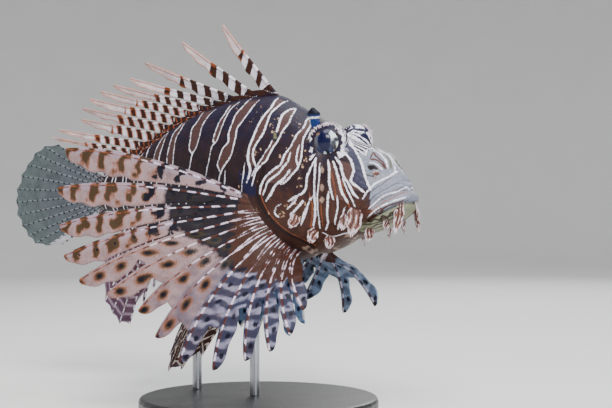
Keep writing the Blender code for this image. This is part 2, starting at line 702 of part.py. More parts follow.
def tentacle(hand: float, finish: bpy.types.Material) -> bpy.types.Object:
    """The short flap of a brow: the right one stands up, the left one lies outwards."""
    name = "brow_tentacle_" + ("left" if hand == LEFT else "right")
    rows, columns = 5, 4
    eye = np.array([EYE_ALONG, hand * EYE_SIDE, EYE_LEVEL])
    up, wide = unit(np.array([0.12, -0.12, 1.0])), np.array([1.0, 0.0, 0.0])
    root = eye + np.array([7.5, -1.2, 8.0])
    if hand == LEFT:
        up, wide = unit(np.array([0.5, 0.8, 0.3])), unit(np.array([0.8, -0.5, 0.0]))
        root = eye + up * 10.5
    points = np.zeros((rows, columns, 3))
    half = np.zeros((rows, columns))
    for r in range(rows):
        share = r / (rows - 1)
        width = 2.4 + 0.5 * math.sin(math.pi * share) - 0.7 * share**3
        for c in range(columns):
            across = 2 * c / (columns - 1) - 1
            points[r, c] = root + up * (9.7 * share - 1.2 * share * across**2) + wide * width * across
            half[r, c] = 1.15 - 0.55 * share - 0.3 * across**2
    return thick_sheet(name, points, half, np.ones((rows - 1, columns - 1), bool), finish)


def stand(body: bpy.types.Object, base_finish: bpy.types.Material,
          rod_finish: bpy.types.Material) -> None:
    """A round base with an eased edge, and two rods that end against the belly."""
    floor = -AXIS_HEIGHT
    profile = ((0.0, 0.0), (BASE_RADIUS - 0.6, 0.0), (BASE_RADIUS, 0.6),
               (BASE_RADIUS, BASE_THICKNESS - BASE_EDGE),
               (BASE_RADIUS - 0.3 * BASE_EDGE, BASE_THICKNESS - 0.3 * BASE_EDGE),
               (BASE_RADIUS - BASE_EDGE, BASE_THICKNESS), (0.0, BASE_THICKNESS))
    up = np.array([0.0, 0.0, 1.0])
    spun("stand_base", np.array([SNOUT_X, 0.0, floor]), up, profile, 40, base_finish)
    for along, name in zip(ROD_PLACES, ("stand_rod_front", "stand_rod_rear")):
        start, end = BASE_THICKNESS + GAP, AXIS_HEIGHT - 15
        profile = ((0.0, start), (ROD_RADIUS, start), (ROD_RADIUS, end), (0.0, end))
        rod = spun(name, np.array([along, 0.0, floor]), up, profile, 16, rod_finish)
        modify(rod, "DIFFERENCE", [body])


def main() -> None:
    """Clear the scene and build the fish and its stand."""
    for found in list(bpy.data.objects):
        bpy.data.objects.remove(found)
    hide = material("striped_skin", (0.23, 0.12, 0.10), 0.42)
    web = material("fin_membrane", (0.62, 0.50, 0.45), 0.45)
    glass = material("eye", (0.75, 0.78, 0.85), 0.08)
    base_finish = material("stand_base", (0.05, 0.05, 0.05), 0.4)
    rod_finish = material("stand_rod", (0.6, 0.6, 0.62), 0.25)

    head_and_jaw(hide)
    loft("torso", [GILL + GAP / 2, *TORSO_RINGS, STALK - GAP / 2], hide)
    loft("tail_stalk", [STALK + GAP / 2, *STALK_RINGS, FLESH_END], hide)
    body = loft("flesh", [*HEAD_RINGS, GILL - 0.1, GILL + 0.1, *TORSO_RINGS, STALK, *STALK_RINGS,
                          FLESH_END + GAP], hide, swell=GAP + 0.05, nose=True)
    body.hide_render = True
    body.display_type = "WIRE"
    for fan in FANS:
        modify(rayed_fin(fan, web), "DIFFERENCE", [body])
    for hand in (RIGHT, LEFT):
        side = "left" if hand == LEFT else "right"
        ball("eye_" + side, np.array([EYE_ALONG, hand * EYE_SIDE, EYE_LEVEL]), EYE_RADIUS, 20,
             glass)
        modify(tentacle(hand, hide), "DIFFERENCE", [body])
    stand(body, base_finish, rod_finish)
    discard([body])


main()
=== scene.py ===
"""Looks of a red lionfish display model: one skin, rayed fins, glassy eyes and a plain stand.

Sizes are millimetres in the fish's own frame: along, back from the snout; side, to the fish's
left; level, up from the body's axis. place() turns them into the frame's metres.
"""

from __future__ import annotations

import logging
import math
import random
from collections.abc import Callable
from dataclasses import dataclass, field, replace
from enum import Enum

import bpy
import numpy as np
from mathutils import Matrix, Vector

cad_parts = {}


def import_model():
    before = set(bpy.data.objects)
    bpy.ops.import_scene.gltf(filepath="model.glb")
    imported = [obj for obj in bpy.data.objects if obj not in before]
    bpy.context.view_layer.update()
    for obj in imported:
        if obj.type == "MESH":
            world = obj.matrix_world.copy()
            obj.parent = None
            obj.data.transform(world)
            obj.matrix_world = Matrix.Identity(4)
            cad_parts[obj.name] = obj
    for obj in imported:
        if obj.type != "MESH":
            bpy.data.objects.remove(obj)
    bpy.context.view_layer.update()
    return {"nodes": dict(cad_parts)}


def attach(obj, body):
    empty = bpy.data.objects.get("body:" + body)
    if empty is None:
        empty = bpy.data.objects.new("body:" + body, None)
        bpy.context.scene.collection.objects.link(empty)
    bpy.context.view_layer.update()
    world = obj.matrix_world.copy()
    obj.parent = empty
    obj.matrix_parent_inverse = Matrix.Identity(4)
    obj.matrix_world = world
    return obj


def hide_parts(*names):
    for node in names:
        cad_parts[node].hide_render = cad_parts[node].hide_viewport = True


LOG = logging.getLogger("lionfish")

MM = 0.001
SNOUT_X = 100.0
AXIS_HEIGHT = 118.0
RIGHT, LEFT = -1.0, 1.0
UP = np.array([0.0, 0.0, 1.0])


class Curve:
    """A smooth curve through key points that never overshoots them, for whole arrays at once."""

    def __init__(self, *keys: tuple[float, float]) -> None:
        """Fit the slopes.

        Args:
            keys: pairs of place and value, in order of place.
        """
        self.x = np.array([key[0] for key in keys], float)
        self.y = np.array([key[1] for key in keys], float)
        step = np.diff(self.x)
        rise = np.diff(self.y) / step
        self.slope = np.zeros(len(self.x))
        self.slope[0], self.slope[-1] = rise[0], rise[-1]
        for i in range(1, len(rise)):
            if rise[i - 1] * rise[i] > 0:
                before, after = 2 * step[i] + step[i - 1], step[i] + 2 * step[i - 1]
                self.slope[i] = (before + after) / (before / rise[i - 1] + after / rise[i])

    def __call__(self, place: np.ndarray | float) -> np.ndarray:
        """Read the curve.

        Args:
            place: one place or an array of them; past the ends the value is held level.

        Returns:
            The value at each place.
        """
        x = np.clip(place, self.x[0], self.x[-1])
        i = np.minimum(np.searchsorted(self.x, x, side="right") - 1, len(self.x) - 2)
        width = self.x[i + 1] - self.x[i]
        t = (x - self.x[i]) / width
        return (self.y[i] * (1 + 2 * t) * (1 - t) ** 2 + self.y[i + 1] * t * t * (3 - 2 * t)
                + width * (self.slope[i] * t * (1 - t) ** 2 + self.slope[i + 1] * t * t * (t - 1)))


def ease(start: float, end: float, x: np.ndarray | float) -> np.ndarray:
    """A smooth step.

    Args:
        start: where it is 0.
        end: where it is 1, on either side of start.
        x: the places to read.

    Returns:
        Values from 0 to 1.
    """
    t = np.clip((np.asarray(x, float) - start) / (end - start), 0.0, 1.0)
    return t * t * (3 - 2 * t)


def side_name(hand: float) -> str:
    """The word for a side in the names of pieces."""
    return "left" if hand == LEFT else "right"


def bell(x: np.ndarray | float, middle: float, spread: float) -> np.ndarray:
    """A smooth hump that is 1 at its middle."""
    return np.exp(-(((x - middle) / spread) ** 2))


def unit(vectors: np.ndarray) -> np.ndarray:
    """The vectors at length 1, along the last axis."""
    return vectors / np.maximum(np.linalg.norm(vectors, axis=-1, keepdims=True), 1e-9)


def place(points: np.ndarray) -> np.ndarray:
    """Turn the fish's millimetres into the frame's metres.

    Args:
        points: an array of (along, side, level).

    Returns:
        An array of (x, y, z).
    """
    made = np.empty_like(points, dtype=float)
    made[..., 0] = (SNOUT_X - points[..., 0]) * MM
    made[..., 1] = points[..., 1] * MM
    made[..., 2] = (AXIS_HEIGHT + points[..., 2]) * MM
    return made


def wobble(points: np.ndarray, size: float, seed: int) -> np.ndarray:
    """A smooth random field made of a few crossed waves.

    Args:
        points: places in millimetres.
        size: the length of the longest wave.
        seed: which field.

    Returns:
        Values from about -1 to 1.
    """
    draw = np.random.default_rng(seed)
    total = np.zeros(points.shape[:-1])
    for step in range(6):
        way = unit(draw.normal(size=3)) * math.tau / size * (1 + 0.45 * step)
        total += np.sin(points @ way + draw.uniform(0, math.tau)) / (1 + 0.3 * step)
    return total / 2.6


def distance_to_line(points: np.ndarray, line: np.ndarray) -> tuple[np.ndarray, np.ndarray]:
    """How far points are from a line of points.

    Args:
        points: an array (n, 3).
        line: an array (m, 3).

    Returns:
        The distance of each point, and how far along the line it lies from 0 to 1.
    """
    best = np.full(len(points), np.inf)
    where = np.zeros(len(points))
    legs = len(line) - 1
    for i in range(legs):
        run = line[i + 1] - line[i]
        share = np.clip((points - line[i]) @ run / max(float(run @ run), 1e-9), 0, 1)
        gap = np.linalg.norm(points - line[i] - share[:, None] * run, axis=1)
        nearer = gap < best
        best = np.where(nearer, gap, best)
        where = np.where(nearer, (i + share) / legs, where)
    return best, where


def make_mesh(name: str, points: np.ndarray, faces: np.ndarray, marks: Marks,
              caps: np.ndarray | None = None) -> bpy.types.Object:
    """A smooth-shaded mesh object.

    Args:
        name: the object's name.
        points: millimetres in the fish's frame, (n, 3).
        faces: corner indices, (m, 4).
        marks: values at each point, kept as attributes for the materials.
        caps: more faces of three corners, (k, 3).

    Returns:
        The new object, with its faces turned outwards.
    """
    spots = place(points)
    corner = spots[faces]
    volume = (corner[:, 0] * (np.cross(corner[:, 1], corner[:, 2])
                              + np.cross(corner[:, 2], corner[:, 3]))).sum()
    turn = -1 if volume < 0 else 1
    listed = faces[:, ::turn].tolist() + (caps[:, ::turn].tolist() if caps is not None else [])
    mesh = bpy.data.meshes.new(name)
    mesh.from_pydata(spots.tolist(), [], listed)
    for mark, values in marks.items():
        layer = mesh.attributes.new(mark.value, "FLOAT", "POINT")
        layer.data.foreach_set("value", np.ascontiguousarray(values, dtype=np.float32))
    mesh.polygons.foreach_set("use_smooth", [True] * len(mesh.polygons))
    made = bpy.data.objects.new(name, mesh)
    bpy.context.scene.collection.objects.link(made)
    return made


def grid_faces(rows: int, columns: int, joined: np.ndarray | None = None) -> np.ndarray:
    """The squares of a grid.

    Args:
        rows: how many rows of points.
        columns: how many points in a row.
        joined: which squares exist, (rows - 1, columns - 1), or all of them.

    Returns:
        Corner indices, (squares, 4).
    """
    r, c = np.meshgrid(np.arange(rows - 1), np.arange(columns - 1), indexing="ij")
    start = r * columns + c
    faces = np.stack([start, start + 1, start + columns + 1, start + columns], axis=-1)
    return faces[joined] if joined is not None else faces.reshape(-1, 4)


def ring_faces(rows: int, columns: int) -> np.ndarray:
    """The squares between rings of points, each ring closed on itself.

    Args:
        rows: how many rings.
        columns: how many points in a ring.

    Returns:
        Corner indices, (squares, 4).
    """
    row, column = np.meshgrid(np.arange(rows - 1), np.arange(columns), indexing="ij")
    here, beside = row * columns + column, row * columns + (column + 1) % columns
    return np.stack([here, beside, beside + columns, here + columns], axis=-1).reshape(-1, 4)


def thick_sheet(points: np.ndarray, half: np.ndarray,
                joined: np.ndarray) -> tuple[np.ndarray, np.ndarray, np.ndarray]:
    """A grid of points made into a closed body either side of itself.

    Args:
        points: the middle surface, (rows, columns, 3).
        half: half its thickness at each point.
        joined: which squares exist.

    Returns:
        The body's points, its faces, and the grid index that each point comes from.
    """
    rows, columns = points.shape[:2]
    squares = grid_faces(rows, columns, joined)
    flat = points.reshape(-1, 3)
    corners = flat[squares]
    facing = np.cross(corners[:, 2] - corners[:, 0], corners[:, 3] - corners[:, 1])
    normal = np.zeros_like(flat)
    for corner in range(4):
        np.add.at(normal, squares[:, corner], facing)
    used = np.unique(squares)
    index = np.full(len(flat), -1)
    index[used] = np.arange(len(used))
    squares = index[squares]
    shift = unit(normal[used]) * half.reshape(-1, 1)[used]
    body = np.concatenate([flat[used] + shift, flat[used] - shift])
    back = len(used)
    edges = np.concatenate([squares[:, [i, (i + 1) % 4]] for i in range(4)])
    key = edges[:, 0] * back + edges[:, 1]
    other = edges[:, 1] * back + edges[:, 0]
    rim = edges[~np.isin(key, other)]
    walls = np.stack([rim[:, 1], rim[:, 0], back + rim[:, 0], back + rim[:, 1]], axis=1)
    faces = np.concatenate([squares, squares[:, ::-1] + back, walls])
    return body, faces, np.concatenate([used, used])


STATIONS = (
    (-0.6, -0.4, -3.0, 0.9, -1.8, 2.0, 2.0),
    (0.2, 2.2, -6.4, 4.0, -2.0, 2.0, 2.2),
    (2.0, 5.2, -9.4, 7.0, -3.0, 1.9, 2.2),
    (5.0, 9.2, -12.2, 9.8, -4.0, 1.8, 2.2),
    (10.0, 14.0, -14.8, 12.8, -5.0, 1.8, 2.2),
    (16.5, 19.4, -17.4, 15.8, -6.0, 1.9, 2.2),
    (24.0, 23.4, -19.8, 18.4, -6.0, 2.1, 2.2),
    (33.0, 25.8, -22.6, 20.8, -6.0, 2.3, 2.2),
    (42.0, 29.6, -25.4, 22.4, -5.0, 2.4, 2.2),
    (56.0, 38.0, -30.0, 24.8, -3.0, 2.1, 2.1),
    (70.0, 45.6, -34.6, 26.2, -1.0, 1.8, 2.1),
    (86.0, 52.0, -37.6, 26.0, 2.0, 1.7, 2.0),
    (104.0, 51.7, -38.6, 23.4, 5.0, 1.7, 2.0),
    (130.0, 48.0, -36.4, 18.6, 7.0, 1.7, 2.0),
    (156.0, 40.4, -31.0, 13.6, 6.0, 1.8, 2.0),
    (182.0, 28.0, -21.8, 8.6, 4.0, 1.9, 2.0),
    (204.0, 15.6, -12.4, 5.4, 2.0, 2.0, 2.0),
    (218.0, 11.0, -9.6, 3.8, 1.0, 2.0, 2.0),
    (230.0, 10.6, -9.6, 2.4, 0.5, 2.0, 2.0),
)
TOP, BOTTOM, HALF_WIDTH, WIDEST, BACK, BELLY = (
    Curve(*((station[0], station[column]) for station in STATIONS)) for column in range(1, 7)
)
GILL_SWEEP = Curve(
    (-40, -24), (-31, -24), (-26, -21), (-21, -15.5), (-14.5, -9.5), (-7, -3.5), (0, 0), (11, -2),
    (32, -2), (52, 6),
)
LIP_FOLDS = (
    (1.5, 2.4, 1.7), (1.1, -2.1, 1.5), (-1.0, 5.6, 1.3), (0.5, 7.8, 1.3), (-0.45, 10.2, 0.9),
    (-1.9, 0.0, 0.5),
)
ORBIT_PROFILE = Curve(
    (0, 7.2), (44, 7.3), (49, 7.6), (51.5, 8.7), (54, 9.35), (60, 9.9), (72, 9.95), (88, 9.9),
    (115, 10.0), (141, 10.1), (180, 9.9),
)


@dataclass
class BodyForm:
    """The flesh as one surface of rings, counted back from the snout, and turns in radians."""

    gill: float = 77.0
    gill_lift: float = 1.7
    flesh_end: float = 227.0
    eye_along: float = 42.5
    eye_side: float = 11.4
    eye_level: float = 25.8
    eye_forward: float = math.radians(24)
    mouth_along: float = -1.0
    mouth_level: float = -4.0
    mouth_slope: float = math.radians(28)
    mouth_corner: float = 17.0

    def section(self, along: np.ndarray, turn: np.ndarray) -> np.ndarray:
        """Points of the plain body.

        Args:
            along: how far back each point is.
            turn: its angle round the axis, 0 to the left and a quarter turn up.

        Returns:
            Points in millimetres.
        """
        across, up = np.cos(turn), np.sin(turn)
        widest = WIDEST(along)
        power = 2 / np.where(up > 0, BACK(along), BELLY(along))
        height = np.where(up > 0, TOP(along) - widest, widest - BOTTOM(along))
        side = HALF_WIDTH(along) * np.sign(across) * np.abs(across) ** power
        side = side * np.sqrt(np.clip((self.flesh_end + 0.05 - along) / 6, 0, 1))
        level = widest + height * np.sign(up) * np.abs(up) ** power
        return np.stack([along, side, level], axis=-1)

    def eye_axis(self, hand: float) -> np.ndarray:
        """The way that an eye looks: outwards and a little ahead."""
        return np.array([-math.sin(self.eye_forward), hand * math.cos(self.eye_forward), 0.0])

    def eye_ahead(self, hand: float) -> np.ndarray:
        """The level way across an eye, towards the snout."""
        return unit(np.cross(UP, self.eye_axis(hand))) * hand

    def eye_centre(self, hand: float) -> np.ndarray:
        """The middle of an eyeball."""
        return np.array([self.eye_along, hand * self.eye_side, self.eye_level])

    def orbit(self, points: np.ndarray) -> np.ndarray:
        """Lift the surface into the two mounds and rolled lids round the eyes.

        Args:
            points: places on the plain body.

        Returns:
            The same places, moved near the eyes.
        """
        moved = points.copy()
        for hand in (RIGHT, LEFT):
            away = points - self.eye_centre(hand)
            distance = np.maximum(np.linalg.norm(away, axis=-1), 1e-6)
            facing = np.degrees(np.arccos(np.clip(away @ self.eye_axis(hand) / distance, -1, 1)))
            reach = ORBIT_PROFILE(facing)
            soft = (distance**8 + reach**8) ** (1 / 8)
            shown = ease(57, 50, facing)
            found = soft * (1 - shown) + reach * shown
            near = (distance < 24) & (points[..., 1] * hand >= 0)
            found = np.where(near, found, distance)
            moved += away / distance[..., None] * (found - distance)[..., None]
        return moved

    def above_mouth(self, points: np.ndarray) -> np.ndarray:
        """How far each point is above the plane of the mouth."""
        return ((points[..., 2] - self.mouth_level) * math.cos(self.mouth_slope)
                + (points[..., 0] - self.mouth_along) * math.sin(self.mouth_slope))

    def lips(self, points: np.ndarray) -> np.ndarray:
        """Push the two lips out, with the closed line of the mouth and the folds above it.

        Args:
            points: places on the body.

        Returns:
            The same places, moved near the mouth.
        """
        above = self.above_mouth(points)
        rise = sum(height * bell(above, middle, spread) for height, middle, spread in LIP_FOLDS)
        reach = ease(self.mouth_corner + 9, self.mouth_corner - 3, points[..., 0])
        out = np.stack([np.minimum(points[..., 0] - 20, 0.0), points[..., 1],
                        0.3 * (points[..., 2] + 5)], axis=-1)
        return points + unit(out) * (rise * reach)[..., None]

    def surface(self, ring: np.ndarray, turn: np.ndarray) -> np.ndarray:
        """Points of the finished flesh.

        Args:
            ring: how far back; rings near the gill opening sweep forward to follow it.
            turn: the angle round the axis.

        Returns:
            Points in millimetres.
        """
        level = self.section(ring, turn)[..., 2]
        swept = np.where(ring <= self.gill, ease(18, self.gill, ring), ease(135, self.gill, ring))
        points = self.lips(self.orbit(self.section(ring + swept * GILL_SWEEP(level), turn)))
        cover = self.gill_lift * ease(50, self.gill, ring) * ease(26, 12, level)
        cover = cover * ease(self.gill + 1.1, self.gill, ring)
        out = np.stack([np.zeros_like(cover), points[..., 1],
                        points[..., 2] - WIDEST(points[..., 0])], axis=-1)
        return points + unit(out) * cover[..., None]

    def spot(self, ring: float, degrees: float, hand: float) -> tuple[np.ndarray, np.ndarray]:
        """A place on the skin.

        Args:
            ring: how far back it is.
            degrees: its turn on the left side; the right side mirrors it.
            hand: which side.

        Returns:
            The point, and the way out of the skin there.
        """
        angle = math.radians(degrees if hand == LEFT else 180 - degrees)
        rings = np.array([ring, ring + 1.0, ring])
        turns = np.array([angle, angle, angle + 0.02])
        here, ahead, beside = self.surface(rings, turns)
        out = unit(np.cross(ahead - here, beside - here))
        return here, out * math.copysign(1.0, out[1] * here[1])


def graded(start: float, end: float, step: float,
           fine: tuple[tuple[float, float, float], ...]) -> np.ndarray:
    """Places from start to end that crowd together where the form is finest.

    Args:
        start: the first place.
        end: the last place.
        step: the widest spacing.
        fine: (middle, half width, spacing) of each fine stretch.

    Returns:
        The places in order.
    """
    found = [start]
    while found[-1] < end:
        here = found[-1]
        spacing = step
        for middle, half, close in fine:
            spacing = min(spacing, close + max(abs(here - middle) - half, 0.0) * 0.08)
        found.append(here + spacing)
    found[-1] = end
    return np.array(found)


class Mark(Enum):
    """The kinds of marking; each is an attribute of the meshes, in millimetres inside its edge."""

    BAND = "band"
    CHEEK = "cheek"
    SNOUT = "snout"
    JAW = "jaw"
    WEB = "web"
    ROOT = "root"
    PALE = "pale"
    TINT = "tint"
    HALO = "halo"
    OLIVE = "olive"
    GREY = "grey"
    BROWN = "brown"
    ORANGE = "orange"
    DARK = "dark"
    NAVY = "navy"
    SPECK = "speck"
    WHITE = "white"


Marks = dict[Mark, np.ndarray]
OUTSIDE = -4.0


class Stroke:
    """A painted line on the skin, through (ring, degrees of turn) points."""

    def __init__(self, mark: Mark, half: float, *points: tuple[float, float]) -> None:
        """Keep the line.

        Args:
            mark: what it is painted in.
            half: half its width.
            points: places along it, above and below the left side; the right side mirrors them.
        """
        self.mark, self.half, self.points = mark, half, points

    def path(self, form: BodyForm) -> np.ndarray:
        """The line in space on the right side, smoothed between its points."""
        legs = len(self.points) - 1
        steps = np.linspace(0, legs, legs * 4 + 1)
        ring = Curve(*enumerate(p[0] for p in self.points))(steps)
        turn = Curve(*enumerate(p[1] for p in self.points))(steps)
        return form.surface(ring, np.radians(180 - turn))


LINES = {
    Mark.WHITE: (
        (0.4, (181.4, 73.2), (180.6, 45.6)),
        (0.32, (166.2, 80), (167.8, 78), (170.2, 58.8), (171.8, 43.6), (171.8, 29.8)),
        (0.32, (166.2, 80), (165.4, 49.2), (166.2, 34.8), (166.2, 24.3)),
        (0.32, (155.8, 82.5), (155, 68.8), (158.2, 57.2), (158.2, 40.8), (158.2, 27.5),
         (155.8, 16.3)),
        (0.32, (151, 75.6), (151.8, 57.6), (153.4, 47.6), (152.6, 33.6), (151.8, 23.5),
         (151, 15.5)),
        (0.35, (139, 85.3), (138.2, 61.6), (140.6, 51.2), (139, 38.8), (138.2, 31.1),
         (134.2, 25.1)),
        (0.35, (127, 72.8), (130.2, 61.2), (131.8, 49.6), (131, 39.2), (131.8, 30.5),
         (134.2, 25.1), (135, 16.3), (135.8, 6.7)),
        (0.35, (114.2, 72), (115, 59.2), (117.4, 50), (118.2, 40.8), (118.2, 34.4), (116.6, 31.7)),
        (0.35, (107, 74.4), (111.8, 62.4), (113.4, 50), (114.2, 40.4), (115, 33.2), (118.2, 29.1),
         (118.2, 22.7), (119, 14.7), (119.8, 6.7), (120.6, -2.1)),
        (0.43, (99, 79.6), (101.4, 65.2), (105.4, 54.8), (106.2, 46.4), (107, 39.2), (105.4, 32.7),
         (108.6, 27.5), (110.2, 20.3), (111, 16.3), (108.6, 10.7)),
        (0.43, (90.2, 73.6), (94.2, 59.2), (98.2, 49.6), (101.4, 42), (100.6, 34.4), (100.6, 27.5),
         (101.4, 21.9), (104.6, 16.3), (107, 11.5), (108.6, 3.5), (108.6, -4.5)),
        (0.59, (78.2, 77.6), (79.8, 63.2), (84, 52.4), (87, 43.2), (87.8, 35.2), (88.6, 30.5),
         (88.6, 25.9), (87.8, 21.1), (85.4, 15.5), (86.2, 6.7)),
        (0.54, (73.4, 81.2), (76.6, 65.6), (79.8, 56.4), (81.1, 48), (82.1, 40), (84, 34),
         (85.4, 28.3), (84.7, 23.5), (81.6, 17.9)),
        (0.67, (68.1, 77.6), (71.8, 65.6), (73.4, 58.8), (73.8, 51.2), (73.8, 45.6)),
        (0.37, (75, 38.4), (75.4, 34), (78.2, 25.9), (81.1, 19.5), (83.3, 13.9), (84, 11.5)),
        (0.54, (67.3, 79.6), (68.1, 64.8), (68.1, 58), (70.4, 48), (71.1, 40), (73.4, 31.7),
         (74.6, 22.7), (80.2, 17.9), (82.1, 12.3), (82.1, 5.1)),
        (0.59, (60.9, 80), (59.4, 60), (60.9, 49.2), (61.7, 38.8), (64.1, 29.8), (64.9, 22.7),
         (68.9, 17.9), (72.9, 12.3), (74.2, 5.9), (74.2, 0.3)),
        (0.59, (60.9, 32.7), (60.9, 26.7), (63.3, 20.3), (66.5, 14.7), (70.4, 9.9), (71.1, 5.1),
         (72.3, -0.5)),
        (0.59, (59.4, 76), (56.1, 63.6), (56.1, 50.4), (54.6, 39.6), (53.7, 30.5), (54.6, 21.9),
         (57.5, 16.3), (60.1, 10.7), (62.5, 9.1)),
        (0.48, (57, 41.2), (56.5, 29.1), (54.6, 24.3)),
        (0.65, (58.7, 20.3), (61.7, 13.1), (65.7, 7.5), (67.3, 1.9), (71.8, -4.5)),
        (0.59, (45.2, 35.2), (46.9, 24.3), (48.2, 15.5), (47.7, 8.3), (49.7, 4.3), (53.7, 1.9),
         (58.7, -2.1)),
        (0.67, (49.9, 0.3), (52.7, -4.5), (58.7, -12.5), (61.7, -15.7)),
        (0.67, (45.2, 35.2), (44.4, 23.5), (43.7, 13.9), (42.9, 4.3), (43.4, -2.1), (45.7, -14.9),
         (53.7, -33.3)),
        (0.54, (43.7, 3.5), (46.7, -0.5), (50.7, -11.7), (57.5, -23.7)),
        (0.59, (37.9, 33.2), (36.4, 28.3), (35.4, 18.7), (33.7, 10.7), (32.4, 3.5)),
        (0.59, (34.7, 9.1), (35.4, 2.7), (36.9, -9.3), (39.2, -26.1), (46.2, -40.5)),
        (0.67, (34.7, 36), (32.7, 30.5), (30.2, 21.1), (28.4, 12.3), (26.2, 5.9), (24.7, 1.9)),
        (0.67, (34.4, 42), (31.4, 38), (28.4, 26.7), (24.7, 18.7), (22.2, 11.5), (19.7, 7.5)),
        (0.6, (42.4, 75.6), (39.4, 63.6), (29.8, 51.6), (25.7, 42.8), (23.7, 32.7), (24.2, 23.5),
         (20.2, 18.7), (17.2, 15.5)),
        (0.6, (36.7, 82.9), (26.2, 60), (20.7, 45.2), (18.2, 34.8), (14.2, 19.5)),
        (0.4, (42.4, 78), (34, 72), (27, 66), (21, 60)),
        (0.42, (43, 82), (35, 78), (28, 73), (21.5, 68)),
        (0.36, (44, 86), (36, 83), (28, 79), (21.5, 76)),
        (0.36, (46, 89), (32, 87.5), (21.5, 84)),
        (0.45, (21, 60), (22.7, 72), (22.4, 82), (19, 86), (14, 87), (9.2, 82.5), (7, 69.6)),
        (0.5, (20.7, 79.2), (16.2, 73.6), (12.7, 70), (10.2, 63.2)),
        (0.4, (18.2, 50.8), (14.7, 54), (11.7, 52.8)),
        (0.5, (17.7, 7.5), (13.2, 27.5), (7.8, 52.8), (6.6, 80)),
        (0.5, (14.7, -8.5), (8.7, 11.5), (2.4, 29.1), (0, 88)),
        (0.36, (15.7, -28.5), (9.7, -9.3), (4.2, -0.5), (0.6, 1.9)),
        (0.4, (28.4, 23.5), (25.2, 13.1), (22.7, 5.1), (20.7, -2.9)),
        (0.42, (30.2, 6.7), (30.2, -1.3), (32.4, -17.3), (35.4, -31.7)),
        (0.4, (26.2, -2.1), (28.4, -16.5), (32.9, -33.3), (36.9, -45.3)),
        (0.4, (63.3, -5.3), (67.3, -8.5), (70.4, -14.1), (69.7, -17.3)),
        (0.5, (51.9, 2.7), (57, -4.5), (61.7, -10.1)),
        (0.45, (45.9, 1.9), (49.7, -6.9), (55.2, -18.9), (60.9, -27.7)),
        (0.4, (42.4, 30.5), (41.4, 19.5), (40.9, 8.3), (41.7, -1.3), (44.2, -18.9), (49.2, -34.9)),
        (0.35, (51.4, -42.1), (51.4, -54.1), (40.4, -58.1), (30.9, -58.1)),
    ),
    Mark.OLIVE: (
        (0.85, (19.7, 81.2), (15.7, 83.5), (11.7, 78.8), (9.2, 68.4)),
        (0.8, (74.6, 43.2), (72.9, 40.8)),
    ),
    Mark.BROWN: (
        (0.45, (19.2, 71.2), (18.2, 55.6)),
        (0.5, (19.2, 71.2), (16.7, 64.8), (12.7, 62.8), (10.7, 57.6)),
        (0.5, (18.2, 55.6), (15.2, 60), (11.2, 58)),
        (0.8, (19.2, 39.6), (18.7, 38.8)),
        (0.3, (15.7, -12), (9.7, 3.5), (4.2, 15), (0, 50)),
        (0.55, (17.2, -41.3), (11.2, -25.3), (5.7, -9.3), (0.9, -10.1)),
        (0.55, (22.7, -70.1), (15.2, -72.5), (9.2, -67.7), (4.2, -53.3)),
        (0.55, (38.7, -79.7), (27.9, -78.1), (21.7, -86.1), (15.7, -86.1)),
        (0.5, (15.7, -17.3), (13.7, -12.5), (12.7, -20.5), (14.7, -26.9), (15.7, -17.3)),
        (0.5, (11.7, -18.9), (9.7, -13.3), (8.7, -22.9), (10.2, -30.1), (11.7, -18.9)),
        (0.5, (5.7, -37.3), (3.6, -32.5), (1.8, -35.7), (3.3, -50.1), (5.7, -52.5), (5.7, -37.3)),
        (0.5, (11.7, -46.9), (9.2, -43.7), (8.7, -58.1), (11.7, -63.7), (11.7, -46.9)),
    ),
    Mark.DARK: (
        (0.9, (17.7, 46), (16.2, 47.6), (13.7, 48.8)),
        (0.45, (17.7, 36), (15.2, 36.8), (13.2, 41.6)),
        (0.5, (21.2, -47.7), (13.2, -51.7), (7, -45.3), (1.5, -30.9), (0, -21.3)),
        (0.6, (17.5, -38), (15.8, -44), (13.7, -39), (11.6, -47), (9.8, -37), (8, -46), (6, -36),
         (4.4, -45), (2.6, -37)),
        (0.55, (24, -60), (18.2, -64), (14.6, -58), (11, -65), (7.4, -58), (3.8, -66)),
        (0.55, (30, -70), (24, -74), (17, -72), (10, -78), (5, -74)),
        (2.5, (90.2, 14.7), (90.2, 13.9)),
    ),
    Mark.ORANGE: (
        (0.4, (14.2, 34.8), (12.7, 38)),
        (0.42, (14.2, -18.9), (8.7, -0.5), (3.9, 9.9), (0, 31.1)),
        (0.34, (35.2, 26.7), (32.4, 16.3), (30.9, 6.7), (30.5, -0.5)),
        (0.34, (30.5, 25.1), (27.3, 14.7), (25.2, 4.3), (23.7, -4.5)),
        (0.4, (45.7, 5.9), (45.2, -1.3), (47.9, -15.7), (55.6, -32.5)),
        (0.4, (39.7, -0.5), (41.2, -15.7), (45.4, -32.5)),
    ),
    Mark.GREY: (
        (0.34, (17.2, 4.3), (13.7, 18.7), (9.7, 32.2), (6.3, 56.4)),
        (0.34, (16.2, -1.3), (11.7, 13.9), (7, 28.3), (2.1, 62.4)),
        (0.3, (15.7, -10.1), (10.2, 5.9), (4.5, 20.3), (0, 69.2)),
    ),
    Mark.NAVY: (
        (3.1, (91, 13), (85, 4), (80, 0)),
    ),
    Mark.PALE: (
        (1.34, (40.7, 27.5), (40.2, 24.3)),
        (1.34, (38.9, 12.3), (38.7, 9.1)),
        (1.34, (38.7, 3.5), (38.9, 1.1)),
    ),
}
STROKES = tuple(Stroke(mark, *row) for mark, rows in LINES.items() for row in rows)
